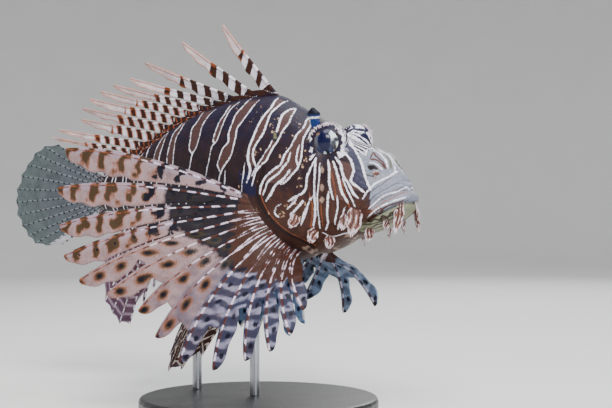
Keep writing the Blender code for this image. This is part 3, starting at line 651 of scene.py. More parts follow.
LOWER_LINES = (
    (90, 20, -3), (104, 12, -3), (112, 5, 0), (120.6, -2, 4), (135.8, 7, 6), (143, 12, 5),
    (151, 15, 4), (156, 16, 3), (166.2, 24, 1), (171.8, 30, 0), (180.6, 45, -1), (187, 84, -2),
    (190, 84, -1), (198, 84, -1), (201, 84, 0), (209, 84, -1), (212, 84, 0), (219, 84, 0),
)
BANDS = (
    (Mark.BAND, 1, 2), (Mark.BAND, 3, 4), (Mark.BAND, 5, 6), (Mark.BAND, 7, 8), (Mark.BAND, 9, 10),
    (Mark.BAND, 11, 12), (Mark.BAND, 13, 15), (Mark.BAND, 14, 15), (Mark.BAND, 16, 18),
    (Mark.BAND, 25, 27), (Mark.BAND, 28, 29), (Mark.GREY, 29, 30),
)
SNOUT_EDGE = Curve((-60, 4), (-30, 12), (0, 14), (19.5, 14.5), (34.8, 18.5), (45, 21), (58, 26),
                   (66, 23), (90, 21.5))


@dataclass
class Skin:
    """One skin over the head, jaw, torso and tail stalk, with its painted markings."""

    form: BodyForm
    speck_groups: int = 150
    nasal_bump: float = 1.7
    nasal_half: float = 6.4
    cheek_fold: float = 0.32
    snout_fold: float = 0.16
    skin_grain: float = 0.05
    seed: int = 8

    def grid(self) -> tuple[np.ndarray, np.ndarray]:
        """The ring and turn of every point, closest together at the eyes, mouth and gill."""
        form = self.form
        rings = graded(-0.58, form.flesh_end, 0.85,
                       ((form.eye_along, 9, 0.3), (form.gill + 0.6, 1.2, 0.2), (1, 4, 0.3),
                        (12, 12, 0.5)))
        side = graded(-90, 90, 1.1, ((58, 26, 0.5), (-38, 20, 0.6)))
        turns = np.radians(np.concatenate([side, 180 - side[::-1][1:-1]]))
        return np.meshgrid(rings, turns, indexing="ij")

    def relief(self, points: np.ndarray, ring: np.ndarray, turn: np.ndarray) -> np.ndarray:
        """Raise the bumps over the nostrils and the soft folds of the cheek and snout.

        Args:
            points: the smooth skin.
            ring: the ring of each point.
            turn: its turn in radians.

        Returns:
            The points with their relief.
        """
        way = np.cross(np.gradient(points, axis=1), np.gradient(points, axis=0))
        out = unit(way)
        lean = points[..., 1] * out[..., 1] + (points[..., 2] - 5) * out[..., 2]
        out = out * np.sign(np.median(lean))
        height = np.zeros(ring.shape)
        upward = np.degrees(np.arcsin(np.sin(turn)))
        for hand in (RIGHT, LEFT):
            on_side = points[..., 1] * hand > -2
            foot = self.form.spot(15, 65, hand)[0]
            far = np.linalg.norm(points - foot, axis=-1)
            height += self.nasal_bump * np.exp(-((far / self.nasal_half) ** 5)) * on_side
            pit = self.form.spot(16.5, 45, hand)[0]
            far = np.linalg.norm(points - pit, axis=-1)
            height += (0.8 * bell(far, 1.9, 0.8) - 1.3 * bell(far, 0.0, 1.1)) * on_side
        cheek = (ease(24, 34, ring) * ease(76, 66, ring) * ease(34, 20, upward)
                 * ease(-66, -50, upward))
        height += self.cheek_fold * cheek * wobble(points * np.array([1, 1, 0.35]), 7.0, 5)
        snout = ease(2, 6, ring) * ease(30, 22, ring)
        height += self.snout_fold * snout * wobble(points, 4.2, 9)
        height += self.skin_grain * wobble(points, 2.6, 12)
        height *= ease(-0.5, 3, ring) * ease(self.form.flesh_end, self.form.flesh_end - 5, ring)
        return points + out * height[..., None]

    def markings(self, points: np.ndarray, ring: np.ndarray, turn: np.ndarray) -> Marks:
        """How far inside each marking every point lies.

        Args:
            points: the skin, (n, 3).
            ring: the ring of each point.
            turn: its turn in radians.

        Returns:
            Millimetres for each mark.
        """
        folded = points.copy()
        folded[:, 1] = -np.abs(folded[:, 1])
        upward = np.degrees(np.arcsin(np.clip(np.sin(turn), -1, 1)))
        found = {mark: np.full(len(points), OUTSIDE) for mark in Mark}
        ragged = wobble(points, 5.0, 3)
        self.paint_lines(folded, ring, ragged, found)
        self.paint_bands(ring, upward, found)
        self.paint_gill(ring, upward, ragged, found)
        throat = ease(-46, -62, upward) * ease(24, 30, ring) * ease(100, 84, ring)
        blots = (wobble(points * np.array([0.6, 1, 1]), 7.0, 31) - 0.35) * 2 - 3 * (1 - throat)
        found[Mark.PALE] = np.maximum(found[Mark.PALE], np.clip(blots, OUTSIDE, 2))
        jaw = self.form.above_mouth(points)
        found[Mark.SNOUT] = np.clip(SNOUT_EDGE(upward) - ring + 0.8 * ragged, OUTSIDE, 4)
        found[Mark.JAW] = np.clip(np.minimum(-jaw, 25 - ring), OUTSIDE, 4)
        found[Mark.CHEEK] = (ease(12, -16, points[:, 2]) * ease(100, 70, ring) * 2.2 - 1
                             + 0.6 * wobble(points, 11.0, 4))
        found[Mark.SPECK] = self.specks(folded, found)
        self.paint_lids(folded, found)
        # The tint here is painted sheen: the back turns bluer with height above the axis.
        found[Mark.TINT] = ease(4, 46, points[:, 2]) * 1.4 - 0.5 + 0.4 * ragged
        return found

    def paint_lines(self, folded: np.ndarray, ring: np.ndarray, ragged: np.ndarray,
                    found: Marks) -> None:
        """Draw every stroke, finer on the head than on the body.

        Args:
            folded: the skin's points, all on one side.
            ring: the ring of each point.
            ragged: how far each line's edge strays.
            found: the markings, which this adds to.
        """
        wider = np.interp(ring, (60, 95), (0.88, 1.3))
        strokes = list(STROKES)
        for start, high, lean in LOWER_LINES:
            strokes.append(Stroke(Mark.WHITE, 0.34, (start, high),
                                  (start + lean / 2, high / 2 - 25), (start + lean, -74)))
        for stroke in strokes:
            path = stroke.path(self.form)
            low, high = path.min(axis=0) - 4, path.max(axis=0) + 4
            near = np.where(((folded > low) & (folded < high)).all(axis=1))[0]
            distance, where = distance_to_line(folded[near], path)
            ends = 0.6 + 0.4 * ease(0, 0.1, where) * ease(1, 0.9, where)
            inside = stroke.half * wider[near] * ends * (1 + 0.28 * ragged[near]) - distance
            found[stroke.mark][near] = np.maximum(found[stroke.mark][near], inside)

    def paint_bands(self, ring: np.ndarray, upward: np.ndarray, found: Marks) -> None:
        """Fill the paler bands between pairs of lines.

        Args:
            ring: the ring of each point.
            upward: its turn above the side, in degrees.
            found: the markings, which this adds to.
        """
        for mark, behind, ahead in BANDS:
            edges = []
            for which in (behind, ahead):
                line = sorted(STROKES[which].points, key=lambda p: p[1])
                edges.append(np.interp(upward, [p[1] for p in line], [p[0] for p in line],
                                       left=np.nan, right=np.nan))
            inside = np.nan_to_num(np.minimum(edges[0] - ring, ring - edges[1]), nan=OUTSIDE)
            found[mark] = np.maximum(found[mark], inside)

    def paint_gill(self, ring: np.ndarray, upward: np.ndarray, ragged: np.ndarray,
                   found: Marks) -> None:
        """Paint the gill cover's dark margin and its orange inner edge.

        Args:
            ring: the ring of each point.
            upward: its turn above the side, in degrees.
            ragged: how far each edge strays.
            found: the markings, which this adds to.
        """
        margin = np.minimum(np.minimum(upward + 64, 20 - upward) * 0.3, 1.5 - np.abs(ring - 75.4))
        found[Mark.DARK] = np.maximum(found[Mark.DARK], margin)
        rim = np.minimum(np.minimum(upward + 62, 12 - upward) * 0.3, 0.5 - np.abs(ring - 73.7))
        found[Mark.ORANGE] = np.maximum(found[Mark.ORANGE], rim + 0.2 * ragged)

    def paint_lids(self, folded: np.ndarray, found: Marks) -> None:
        """Add the pale spokes and dark gaps round each eye, and the stripes over its mound.

        Args:
            folded: the skin's points, all on one side.
            found: the other markings, which this adds to.
        """
        axis = self.form.eye_axis(RIGHT)
        away = folded - self.form.eye_centre(RIGHT)
        distance = np.maximum(np.linalg.norm(away, axis=1), 0.1)
        facing = np.degrees(np.arccos(np.clip(away @ axis / distance, -1, 1)))
        ahead = self.form.eye_ahead(RIGHT)
        round_it = np.arctan2(away[:, 2], away @ ahead)
        spokes = 0.5 * np.sin(round_it * 13 + 1.2 * np.sin(round_it * 3))
        width = 0.4 + 0.6 * bell(round_it, 0.2, 0.9) + spokes
        lid = width - np.abs(facing - 60 - 5 * bell(round_it, 0.2, 0.9)) * 0.16
        lid = np.where((distance < 14) & (np.abs(round_it + 1.9) > 0.35), lid, OUTSIDE)
        found[Mark.WHITE] = np.maximum(found[Mark.WHITE], lid)
        gaps = np.where((distance < 13) & (facing < 80), 0.1 - spokes - np.abs(facing - 62) * 0.05,
                        OUTSIDE)
        found[Mark.NAVY] = np.maximum(found[Mark.NAVY], gaps)
        mound = (distance < 11.6) & (facing > 66) & (facing < 132) & (away[:, 2] > 1.5)
        slant = away @ ahead + 0.06 * facing + 0.5 * np.sin(facing / 6)
        stripe = bars(slant, 2.3, 0.34)
        found[Mark.WHITE] = np.where(mound, np.maximum(found[Mark.WHITE], stripe),
                                     found[Mark.WHITE])
        found[Mark.NAVY] = np.where(mound, np.maximum(found[Mark.NAVY], 0.2 - stripe),
                                    found[Mark.NAVY])

    def specks(self, folded: np.ndarray, found: Marks) -> np.ndarray:
        """Small tan stars scattered over the dark bands of the neck and cheek.

        Args:
            folded: the skin's points, all on one side.
            found: the other markings.

        Returns:
            Millimetres inside the nearest speck.
        """
        draw = np.random.default_rng(self.seed)
        free = np.minimum(-found[Mark.WHITE] - 0.9, -found[Mark.BAND] - 0.2)
        cover = np.full(len(folded), OUTSIDE)
        rings = 47 + 60 * draw.random(self.speck_groups) ** 1.5
        turns = np.radians(180 - draw.uniform(-18, 72, self.speck_groups))
        for centre in self.form.surface(rings, turns):
            away = np.abs(folded - centre).max(axis=1)
            if free[np.argmin(away)] < 0:
                continue
            near = np.where(away < 3)[0]
            for _ in range(int(draw.integers(3, 8))):
                spot = centre + draw.normal(0, 0.7, 3)
                gap = np.linalg.norm(folded[near] - spot, axis=1)
                cover[near] = np.maximum(cover[near], draw.uniform(0.22, 0.55) - gap)
        return cover

    def build(self) -> bpy.types.Object:
        """Make the skin's mesh and dress it."""
        ring, turn = self.grid()
        rows, columns = ring.shape
        smooth = self.form.surface(ring, turn)
        points = self.relief(smooth, ring, turn)
        flat = points.reshape(-1, 3)
        marks = self.markings(smooth.reshape(-1, 3), ring.ravel(), turn.ravel())
        middle = np.stack([points[0].mean(axis=0), points[-1].mean(axis=0)])
        last = (rows - 1) * columns
        caps = []
        for k in range(columns):
            following = (k + 1) % columns
            caps.append((following, k, len(flat)))
            caps.append((last + k, last + following, len(flat) + 1))
        values = {mark: np.concatenate([marks[mark], marks[mark][[0, last]]]) for mark in Mark}
        made = make_mesh("skin", np.concatenate([flat, middle]), ring_faces(rows, columns), values,
                         np.array(caps))
        SKIN_FINISH.dress(made)
        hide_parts("head", "lower_jaw", "torso", "tail_stalk")
        return made


class Shade:
    """A shader socket that makes Math nodes when it is added, multiplied and so on."""

    def __init__(self, tree: bpy.types.NodeTree, socket: bpy.types.NodeSocket) -> None:
        """Wrap a socket of a node tree."""
        self.tree, self.socket = tree, socket

    def math(self, operation: str, other: Shade | float, swapped: bool = False,
             clamp: bool = False) -> Shade:
        """A Math node on this value and another.

        Args:
            operation: the node's operation.
            other: the second value.
            swapped: True when the other value comes first.
            clamp: True to hold the result from 0 to 1.

        Returns:
            The result.
        """
        node = self.tree.nodes.new("ShaderNodeMath")
        node.operation, node.use_clamp = operation, clamp
        pair = (other, self) if swapped else (self, other)
        for value, socket in zip(pair, node.inputs):
            if isinstance(value, Shade):
                self.tree.links.new(value.socket, socket)
            else:
                socket.default_value = value
        return Shade(self.tree, node.outputs[0])

    def __add__(self, other: Shade | float) -> Shade:
        """This value and another, added."""
        return self.math("ADD", other)

    def __sub__(self, other: Shade | float) -> Shade:
        """The other value taken from this one."""
        return self.math("SUBTRACT", other)

    def __rsub__(self, other: float) -> Shade:
        """This value taken from the other one."""
        return self.math("SUBTRACT", other, swapped=True)

    def __mul__(self, other: Shade | float) -> Shade:
        """The product of two values."""
        return self.math("MULTIPLY", other)

    __radd__ = __add__
    __rmul__ = __mul__

    def clamped(self) -> Shade:
        """This value held from 0 to 1."""
        return self.math("ADD", 0.0, clamp=True)

    def mix(self, below: Shade | tuple, above: Shade | tuple) -> Shade:
        """Two colours mixed by this value.

        Args:
            below: the colour at 0.
            above: the colour at 1.

        Returns:
            The mixed colour.
        """
        node = self.tree.nodes.new("ShaderNodeMix")
        node.data_type = "RGBA"
        self.tree.links.new(self.socket, node.inputs[0])
        for value, socket in ((below, node.inputs[6]), (above, node.inputs[7])):
            if isinstance(value, Shade):
                self.tree.links.new(value.socket, socket)
            else:
                socket.default_value = (*value, 1.0)
        return Shade(self.tree, node.outputs[2])


def tone(red: int, green: int, blue: int) -> tuple[float, float, float]:
    """A screen colour as linear light."""
    return tuple(((v / 255 + 0.055) / 1.055) ** 2.4 if v > 10 else v / 3295
                 for v in (red, green, blue))


class Paint:
    """A material's node tree, with one method that makes any node."""

    def __init__(self, name: str) -> None:
        """Start a material with only its shader and output."""
        self.material = bpy.data.materials.new(name)
        self.material.use_nodes = True
        self.tree = self.material.node_tree
        self.shader = self.tree.nodes["Principled BSDF"]

    def node(self, kind: str, output: int | str = 0, settings: dict | None = None,
             **inputs: Shade | float | tuple) -> Shade:
        """Add a node.

        Args:
            kind: its type.
            output: which of its outputs to return.
            settings: its properties, set first.
            inputs: socket values or links, by socket name with _ for a space.

        Returns:
            The output asked for.
        """
        made = self.tree.nodes.new(kind)
        for key, value in (settings or {}).items():
            setattr(made, key, value)
        for key, value in inputs.items():
            socket = made.inputs[key.replace("_", " ")]
            if isinstance(value, Shade):
                self.tree.links.new(value.socket, socket)
            else:
                socket.default_value = value
        return Shade(self.tree, made.outputs[output])

    def mark(self, mark: Mark) -> Shade:
        """Read one of the mesh's attributes."""
        return self.node("ShaderNodeAttribute", "Fac", {"attribute_name": mark.value})

    def noise(self, size: float, detail: float = 3.0) -> Shade:
        """Noise of features this many millimetres across, from -0.5 to 0.5."""
        place_at = self.node("ShaderNodeTexCoord", "Object")
        return self.node("ShaderNodeTexNoise", "Fac", Vector=place_at, Scale=1 / (size * MM),
                         Detail=detail) - 0.5

    def feed(self, socket: str, value: Shade | float | tuple) -> None:
        """Link or set one of the shader's sockets."""
        target = self.shader.inputs[socket]
        if isinstance(value, Shade):
            self.tree.links.new(value.socket, target)
        else:
            target.default_value = value

    def bump(self, height: Shade, distance: float, strength: float) -> None:
        """Feed the shader's normal from a height.

        Args:
            height: the height, from about 0 to 1.
            distance: how many millimetres 1 stands for.
            strength: how strongly it shows.
        """
        normal = self.node("ShaderNodeBump", Height=height, Distance=distance * MM,
                           Strength=strength)
        self.feed("Normal", normal)


@dataclass(frozen=True)
class Layer:
    """One marking of a finish: its colour, how soft and how ragged its edge is."""

    mark: Mark
    colour: tuple[float, float, float]
    soft: float = 0.15
    ragged: float = 0.5
    strength: float = 1.0


@dataclass(frozen=True)
class LayeredFinish:
    """A living skin or membrane: two ground colours, and markings laid over them in order."""

    name: str
    slot: str
    ground: tuple[float, float, float]
    tinted: tuple[float, float, float]
    layers: tuple[Layer, ...]
    roughness: float = 0.6
    coat: float = 0.03
    mottle: float = 0.5
    grain: float = 0.7
    relief: float = 0.12
    subsurface: float = 0.08
    specular: float = 0.12
    coat_roughness: float = 0.2
    shadow: float = 0.4
    dim: float = 0.62
    bright: float = 1.2

    def dress(self, piece: bpy.types.Object) -> None:
        """Give the piece this finish, made of nodes that read its markings."""
        paint = Paint(self.name)
        coarse, fine = paint.noise(6.0), paint.noise(self.grain, 4.0)
        tint = (paint.mark(Mark.TINT) + coarse * self.mottle).clamped()
        colour = tint.mix(self.ground, self.tinted)
        shadow = tuple(v * self.shadow for v in self.ground)
        colour = ((fine + coarse) * 1.7 + 0.18).clamped().mix(colour, shadow)
        for layer in self.layers:
            edge = paint.mark(layer.mark) + fine * layer.ragged
            mask = (edge * (0.5 / layer.soft) + 0.5).clamped()
            if layer.strength < 1:
                mask = mask * layer.strength
            dim = tuple(v * self.dim for v in layer.colour)
            bright = tuple(min(v * self.bright, 1.0) for v in layer.colour)
            colour = mask.mix(colour, (fine * 2.0 + 0.5).clamped().mix(dim, bright))
        paint.feed("Base Color", colour)
        paint.feed("Roughness", (fine * 0.35 + self.roughness).clamped())
        paint.feed("Coat Weight", self.coat)
        paint.feed("Coat Roughness", self.coat_roughness)
        paint.feed("Specular IOR Level", self.specular)
        paint.feed("Subsurface Weight", self.subsurface)
        paint.feed("Subsurface Radius", (0.004, 0.002, 0.0015))
        paint.bump(fine + coarse * 0.5, self.relief, 0.7)
        piece.data.materials.append(paint.material)
        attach(piece, "root")


LILAC, RUST, NIGHT = tone(232, 232, 248), tone(150, 76, 36), tone(14, 18, 50)

SKIN_FINISH = LayeredFinish(
    # The second ground colour is a painted bluish sheen over the back, laid in by the tint mark.
    "striped_skin", "skin", tone(36, 24, 30), tone(28, 26, 50),
    (
        Layer(Mark.CHEEK, tone(68, 40, 28), 0.9, 2.4, 0.8),
        Layer(Mark.BAND, tone(78, 54, 50), 0.2, 0.9, 0.8),
        Layer(Mark.SNOUT, tone(128, 132, 146), 0.5, 1.4, 0.95),
        Layer(Mark.JAW, tone(122, 124, 100), 0.5, 0.8, 0.95),
        Layer(Mark.GREY, tone(50, 50, 72), 0.2, 0.6, 0.85),
        Layer(Mark.OLIVE, tone(98, 102, 74), 0.3, 0.8, 0.85),
        Layer(Mark.BROWN, tone(72, 36, 26), 0.14, 0.4, 0.95),
        Layer(Mark.ORANGE, tone(134, 74, 42), 0.2, 0.6, 0.75),
        Layer(Mark.NAVY, tone(18, 24, 58), 0.6, 1.4, 0.75),
        Layer(Mark.DARK, tone(30, 17, 18), 0.3, 0.7, 0.94),
        Layer(Mark.PALE, tone(176, 148, 130), 0.4, 1.2, 0.6),
        Layer(Mark.SPECK, tone(184, 152, 126), 0.15, 0.5, 0.9),
        Layer(Mark.WHITE, tone(226, 224, 240), 0.14, 0.8),
    ),
    roughness=0.5, coat=0.05, grain=0.9, relief=0.22, specular=0.16,
)


@dataclass
class Fan:
    """A fin's rays, its sizes as curves of the place t, 0 at the first ray and 1 at the last.

    pitch is 0 for a ray that points straight back and 90 for one that points down; spread turns
    it outwards; bulge bows it outwards and arch bows it up; web is the share of its length up to
    which the membrane joins it to the next; lobe is how wide its own membrane is past that.
    """

    name: str
    rays: int
    hand: float
    root_along: Curve
    root_side: Curve
    root_level: Curve
    pitch: Curve
    spread: Curve
    reach: Curve
    web: Curve
    lobe: Curve
    shaft: float
    ridge: float
    root_half: float
    paint: Callable[[FinGrid], Marks]
    finish: LayeredFinish
    flesh: Curve = field(default_factory=lambda: Curve((0, 4), (1, 4)))
    bulge: Curve = field(default_factory=lambda: Curve((0, 0), (1, 0)))
    arch: Curve = field(default_factory=lambda: Curve((0, 0), (1, 0)))
    lead: float = 0.0
    round_from: float = 0.6
    notch: float = 0.4
    sway: float = 0.8
    seed: int = 1
    rows: int = 90
    ripple: float = 0.5
    frill: float = 0.07


@dataclass
class FinGrid:
    """The points of a fin's sheet and where each lies on its ray."""

    points: np.ndarray
    half: np.ndarray
    joined: np.ndarray
    ray: np.ndarray
    share: np.ndarray
    along: np.ndarray
    across: np.ndarray
    wide: np.ndarray
    reach: np.ndarray
    web: np.ndarray
    flesh: np.ndarray


MEMBRANE, TIP, CLEAR, SHARE_OF_GAP = 0.24, 0.12, 0.6, 0.3
BETWEEN = (0.25, 0.5, 0.75)
SPLITS = ((0.0, 0.3, 0.65), (0.0, 0.5), (0.0, 0.15, 0.33, 0.52, 0.72, 0.88, 1.0))


@dataclass
class RayedFin:
    """A fin as one fine sheet with a rounded ridge for each ray, parted past the web."""

    fan: Fan

    def lines(self, shares: np.ndarray) -> tuple[np.ndarray, np.ndarray]:
        """Lay out the rays.

        Args:
            shares: the places along a ray, from 0 to 1.

        Returns:
            The middle line of each ray, and each ray's length.
        """
        fan = self.fan
        draw = random.Random(fan.seed)
        lines = np.zeros((fan.rays, len(shares), 3))
        reaches = np.zeros(fan.rays)
        for i in range(fan.rays):
            t = i / (fan.rays - 1)
            pitch, spread = math.radians(float(fan.pitch(t))), math.radians(float(fan.spread(t)))
            root = np.array([fan.root_along(t), fan.hand * fan.root_side(t), fan.root_level(t)])
            way = np.array([math.cos(pitch) * math.cos(spread), fan.hand * math.sin(spread),
                            -math.sin(pitch) * math.cos(spread)])
            reach = float(fan.reach(t)) * draw.uniform(0.985, 1.015)
            sway = draw.uniform(-fan.sway, fan.sway)
            bow = 4 * shares * (1 - shares) * reach
            lines[i] = root + way * reach * shares[:, None]
            lines[i, :, 1] += fan.hand * bow * fan.bulge(t) + sway * shares**2
            lines[i, :, 2] += bow * fan.arch(t)
            reaches[i] = reach
        return lines, reaches

    def grid(self) -> FinGrid:
        """Lay the sheet out between and beside the rays.

        Returns:
            The sheet's points, and where each lies on its ray.
        """
        fan = self.fan
        shares = np.linspace(0, 1, fan.rows) ** 0.9
        lines, reaches = self.lines(shares)
        way = np.gradient(lines, axis=1)
        beside = np.concatenate([lines[1:] - lines[:-1], (lines[-1] - lines[-2])[None]])
        along = unit(way)
        side = unit(beside - along * (beside * along).sum(axis=-1, keepdims=True))
        per = sum(len(split) for split in SPLITS) + len(BETWEEN)
        shape = (fan.rows, fan.rays * per - len(BETWEEN))
        points, half = np.zeros((*shape, 3)), np.zeros(shape)
        joined = np.ones((fan.rows - 1, shape[1] - 1), bool)
        ray, across, wide = np.zeros(shape), np.zeros(shape), np.ones(shape)
        share = np.repeat(shares[:, None], shape[1], axis=1)
        webs = np.array([int(np.argmin(np.abs(shares - float(fan.web(i / (fan.rays - 1))))))
                         for i in range(fan.rays)])
        corner = np.zeros((fan.rays, 4, fan.rows, 3))
        offset = np.zeros((fan.rays, 4, fan.rows))
        slim = 1 - 0.7 * shares
        full = ease(0, 0.3, shares)
        rounded = np.clip((shares - fan.round_from) / (1 - fan.round_from), 0, 1)
        full = full * np.sqrt(np.clip(1 - rounded**2, 0.0, 1))
        for i in range(fan.rays):
            t = i / (fan.rays - 1)
            gap = (distance_to_line(lines[i], lines[i + 1])[0] if i < fan.rays - 1
                   else np.full(fan.rows, np.inf))
            before = (distance_to_line(lines[i], lines[i - 1])[0] if i
                      else np.full(fan.rows, np.inf))
            shaft = np.minimum(fan.shaft * slim, SHARE_OF_GAP * np.minimum(gap, before))
            frill = 1 + fan.frill * np.sin(shares * reaches[i] / 2.3 + i) * ease(0.2, 0.5, shares)
            ahead = shaft + fan.lead * full
            room = gap - fan.shaft - fan.lead * full - CLEAR
            behind = np.maximum(np.minimum((shaft + fan.lobe(t) * full) * frill, room), shaft * 1.4)
            for k, distance in enumerate((-ahead, 0 * shaft, shaft, behind)):
                offset[i, k] = distance
                corner[i, k] = lines[i] + side[i] * distance[:, None]
        for i in range(fan.rays - 1):
            stop = webs[i] + 1
            corner[i, 3, :stop] = (corner[i, 2, :stop] + corner[i + 1, 0, :stop]) / 2
            if stop >= fan.rows:
                inner = corner[i, 3, -6]
                pull = fan.notch * ease(0.9, 1.0, shares)[:, None]
                corner[i, 3] += (inner - corner[i, 3]) * pull
        for i in range(fan.rays):
            column = i * per
            places = [(corner[i, k], corner[i, k + 1], part) for k, split in enumerate(SPLITS)
                      for part in split]
            if i < fan.rays - 1:
                places += [(corner[i, 3], corner[i + 1, 0], part) for part in BETWEEN]
            for start, finish, part in places:
                points[:, column] = start * (1 - part) + finish * part
                away = points[:, column] - lines[i]
                across[:, column] = (away * side[i]).sum(axis=-1)
                ridge = np.exp(-((across[:, column] / (fan.shaft * 0.75 * slim)) ** 2))
                root = (fan.root_half - MEMBRANE) * ease(0.3, 0.0, shares) + MEMBRANE
                half[:, column] = np.maximum(MEMBRANE + (fan.ridge - MEMBRANE) * slim * ridge, root)
                ray[:, column] = i
                wide[:, column] = np.maximum(offset[i, 3], 0.3)
                column += 1
            if i < fan.rays - 1:
                joined[webs[i]:, column - 1 - len(BETWEEN):column] = False
        half[-1] = TIP
        own = ray.astype(int)
        reach, web = reaches[own], shares[webs][own]
        flesh = fan.flesh(ray / (fan.rays - 1))
        made = FinGrid(points, half, joined, ray, share, share * reach, across, wide, reach, web,
                       flesh)
        self.wave(made)
        return made

    def wave(self, grid: FinGrid) -> None:
        """Ripple the membrane between the rays, most towards its free edge."""
        fan = self.fan
        out = unit(np.cross(np.gradient(grid.points, axis=0), np.gradient(grid.points, axis=1)))
        slack = np.clip(grid.across / np.maximum(grid.wide, 1.0), 0, 1)
        wave = np.sin(grid.along / 3.1 + grid.ray * 1.7) + 0.6 * np.sin(grid.along / 1.7 + grid.ray)
        lift = fan.ripple * slack * (1 - 0.3 * slack) * wave * ease(0.15, 0.5, grid.share)
        grid.points += out * lift[..., None]

    def build(self) -> bpy.types.Object:
        """Make the fin's mesh and dress it."""
        grid = self.grid()
        points, faces, source = thick_sheet(grid.points, grid.half, grid.joined)
        values = {mark: cover.ravel()[source] for mark, cover in self.fan.paint(grid).items()}
        made = make_mesh(self.fan.name, points, faces, values)
        self.fan.finish.dress(made)
        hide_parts(self.fan.name.removeprefix("dressed_"))
        return made


def bars(x: np.ndarray, period: np.ndarray | float, share: float,
         phase: np.ndarray | float = 0.0) -> np.ndarray:
    """Repeated bars: how many millimetres inside the nearest one.

    Args:
        x: the place along.
        period: their spacing.
        share: how much of the spacing each fills.
        phase: where one is centred.

    Returns:
        Millimetres, negative between the bars.
    """
    return share * period / 2 - np.abs(np.mod(x - phase + period / 2, period) - period / 2)


def spots(grid: FinGrid, period: float, middle: float, stretch: float,
          phase: np.ndarray | float) -> np.ndarray:
    """How far each point is from the nearest of a row of spots beside each ray.

    Args:
        grid: the fin.
        period: the spacing of the spots along the ray.
        middle: where they lie across the membrane, 0 on the ray and 1 at its edge.
        stretch: how much longer than wide they are.
        phase: where one is centred.

    Returns:
        Millimetres from the nearest centre.
    """
    down = np.abs(np.mod(grid.along - phase + period / 2, period) - period / 2) / stretch
    return np.hypot(down, grid.across - middle * grid.wide)


def paint_spines(grid: FinGrid) -> Marks:
    """Dark bars on the lower part of each spine, a pale end with rusty edges, a dark web."""
    long = np.clip((grid.reach - 30) / 50, 0, 1)
    period = np.where(grid.ray < 4, 11.0, 8.6) * (0.65 + 0.35 * long)
    tilt = grid.along + 0.45 * grid.across
    barred = bars(tilt, period, 0.5, 4.0 + grid.ray * 0.6)
    end = (0.66 - grid.share) * grid.reach + 0.8
    dark = np.minimum(barred, end)
    web = np.minimum(grid.web * grid.reach * 1.25 - grid.along, 3.0)
    line = 0.36 - np.abs(grid.along - grid.web * grid.reach * 1.2 - 0.3 * grid.across)
    line = np.maximum(line, 0.3 - np.abs(grid.along - grid.web * grid.reach * 0.7 - grid.across))
    edge = np.minimum(np.abs(grid.across), np.abs(grid.wide - grid.across))
    rusty = np.minimum(0.32 - np.abs(edge - 0.55), grid.along - 0.6 * grid.reach)
    fringe = 0.55 - np.abs(barred)
    rear = np.clip((grid.ray - 4) * 2, -4, 0.5)
    return {
        Mark.DARK: dark, Mark.ORANGE: np.maximum(rusty, np.minimum(np.minimum(fringe, end), rear)),
        Mark.WEB: web, Mark.WHITE: line, Mark.TINT: (grid.share - 0.55) * 4,
    }


BLOTCH_STEP, EYED_STEP, DOT_STEP, BAND_STEP = 11.2, 14.0, 10.5, 7.6
BROAD_RAYS, UPPER_RAYS = 4, 8


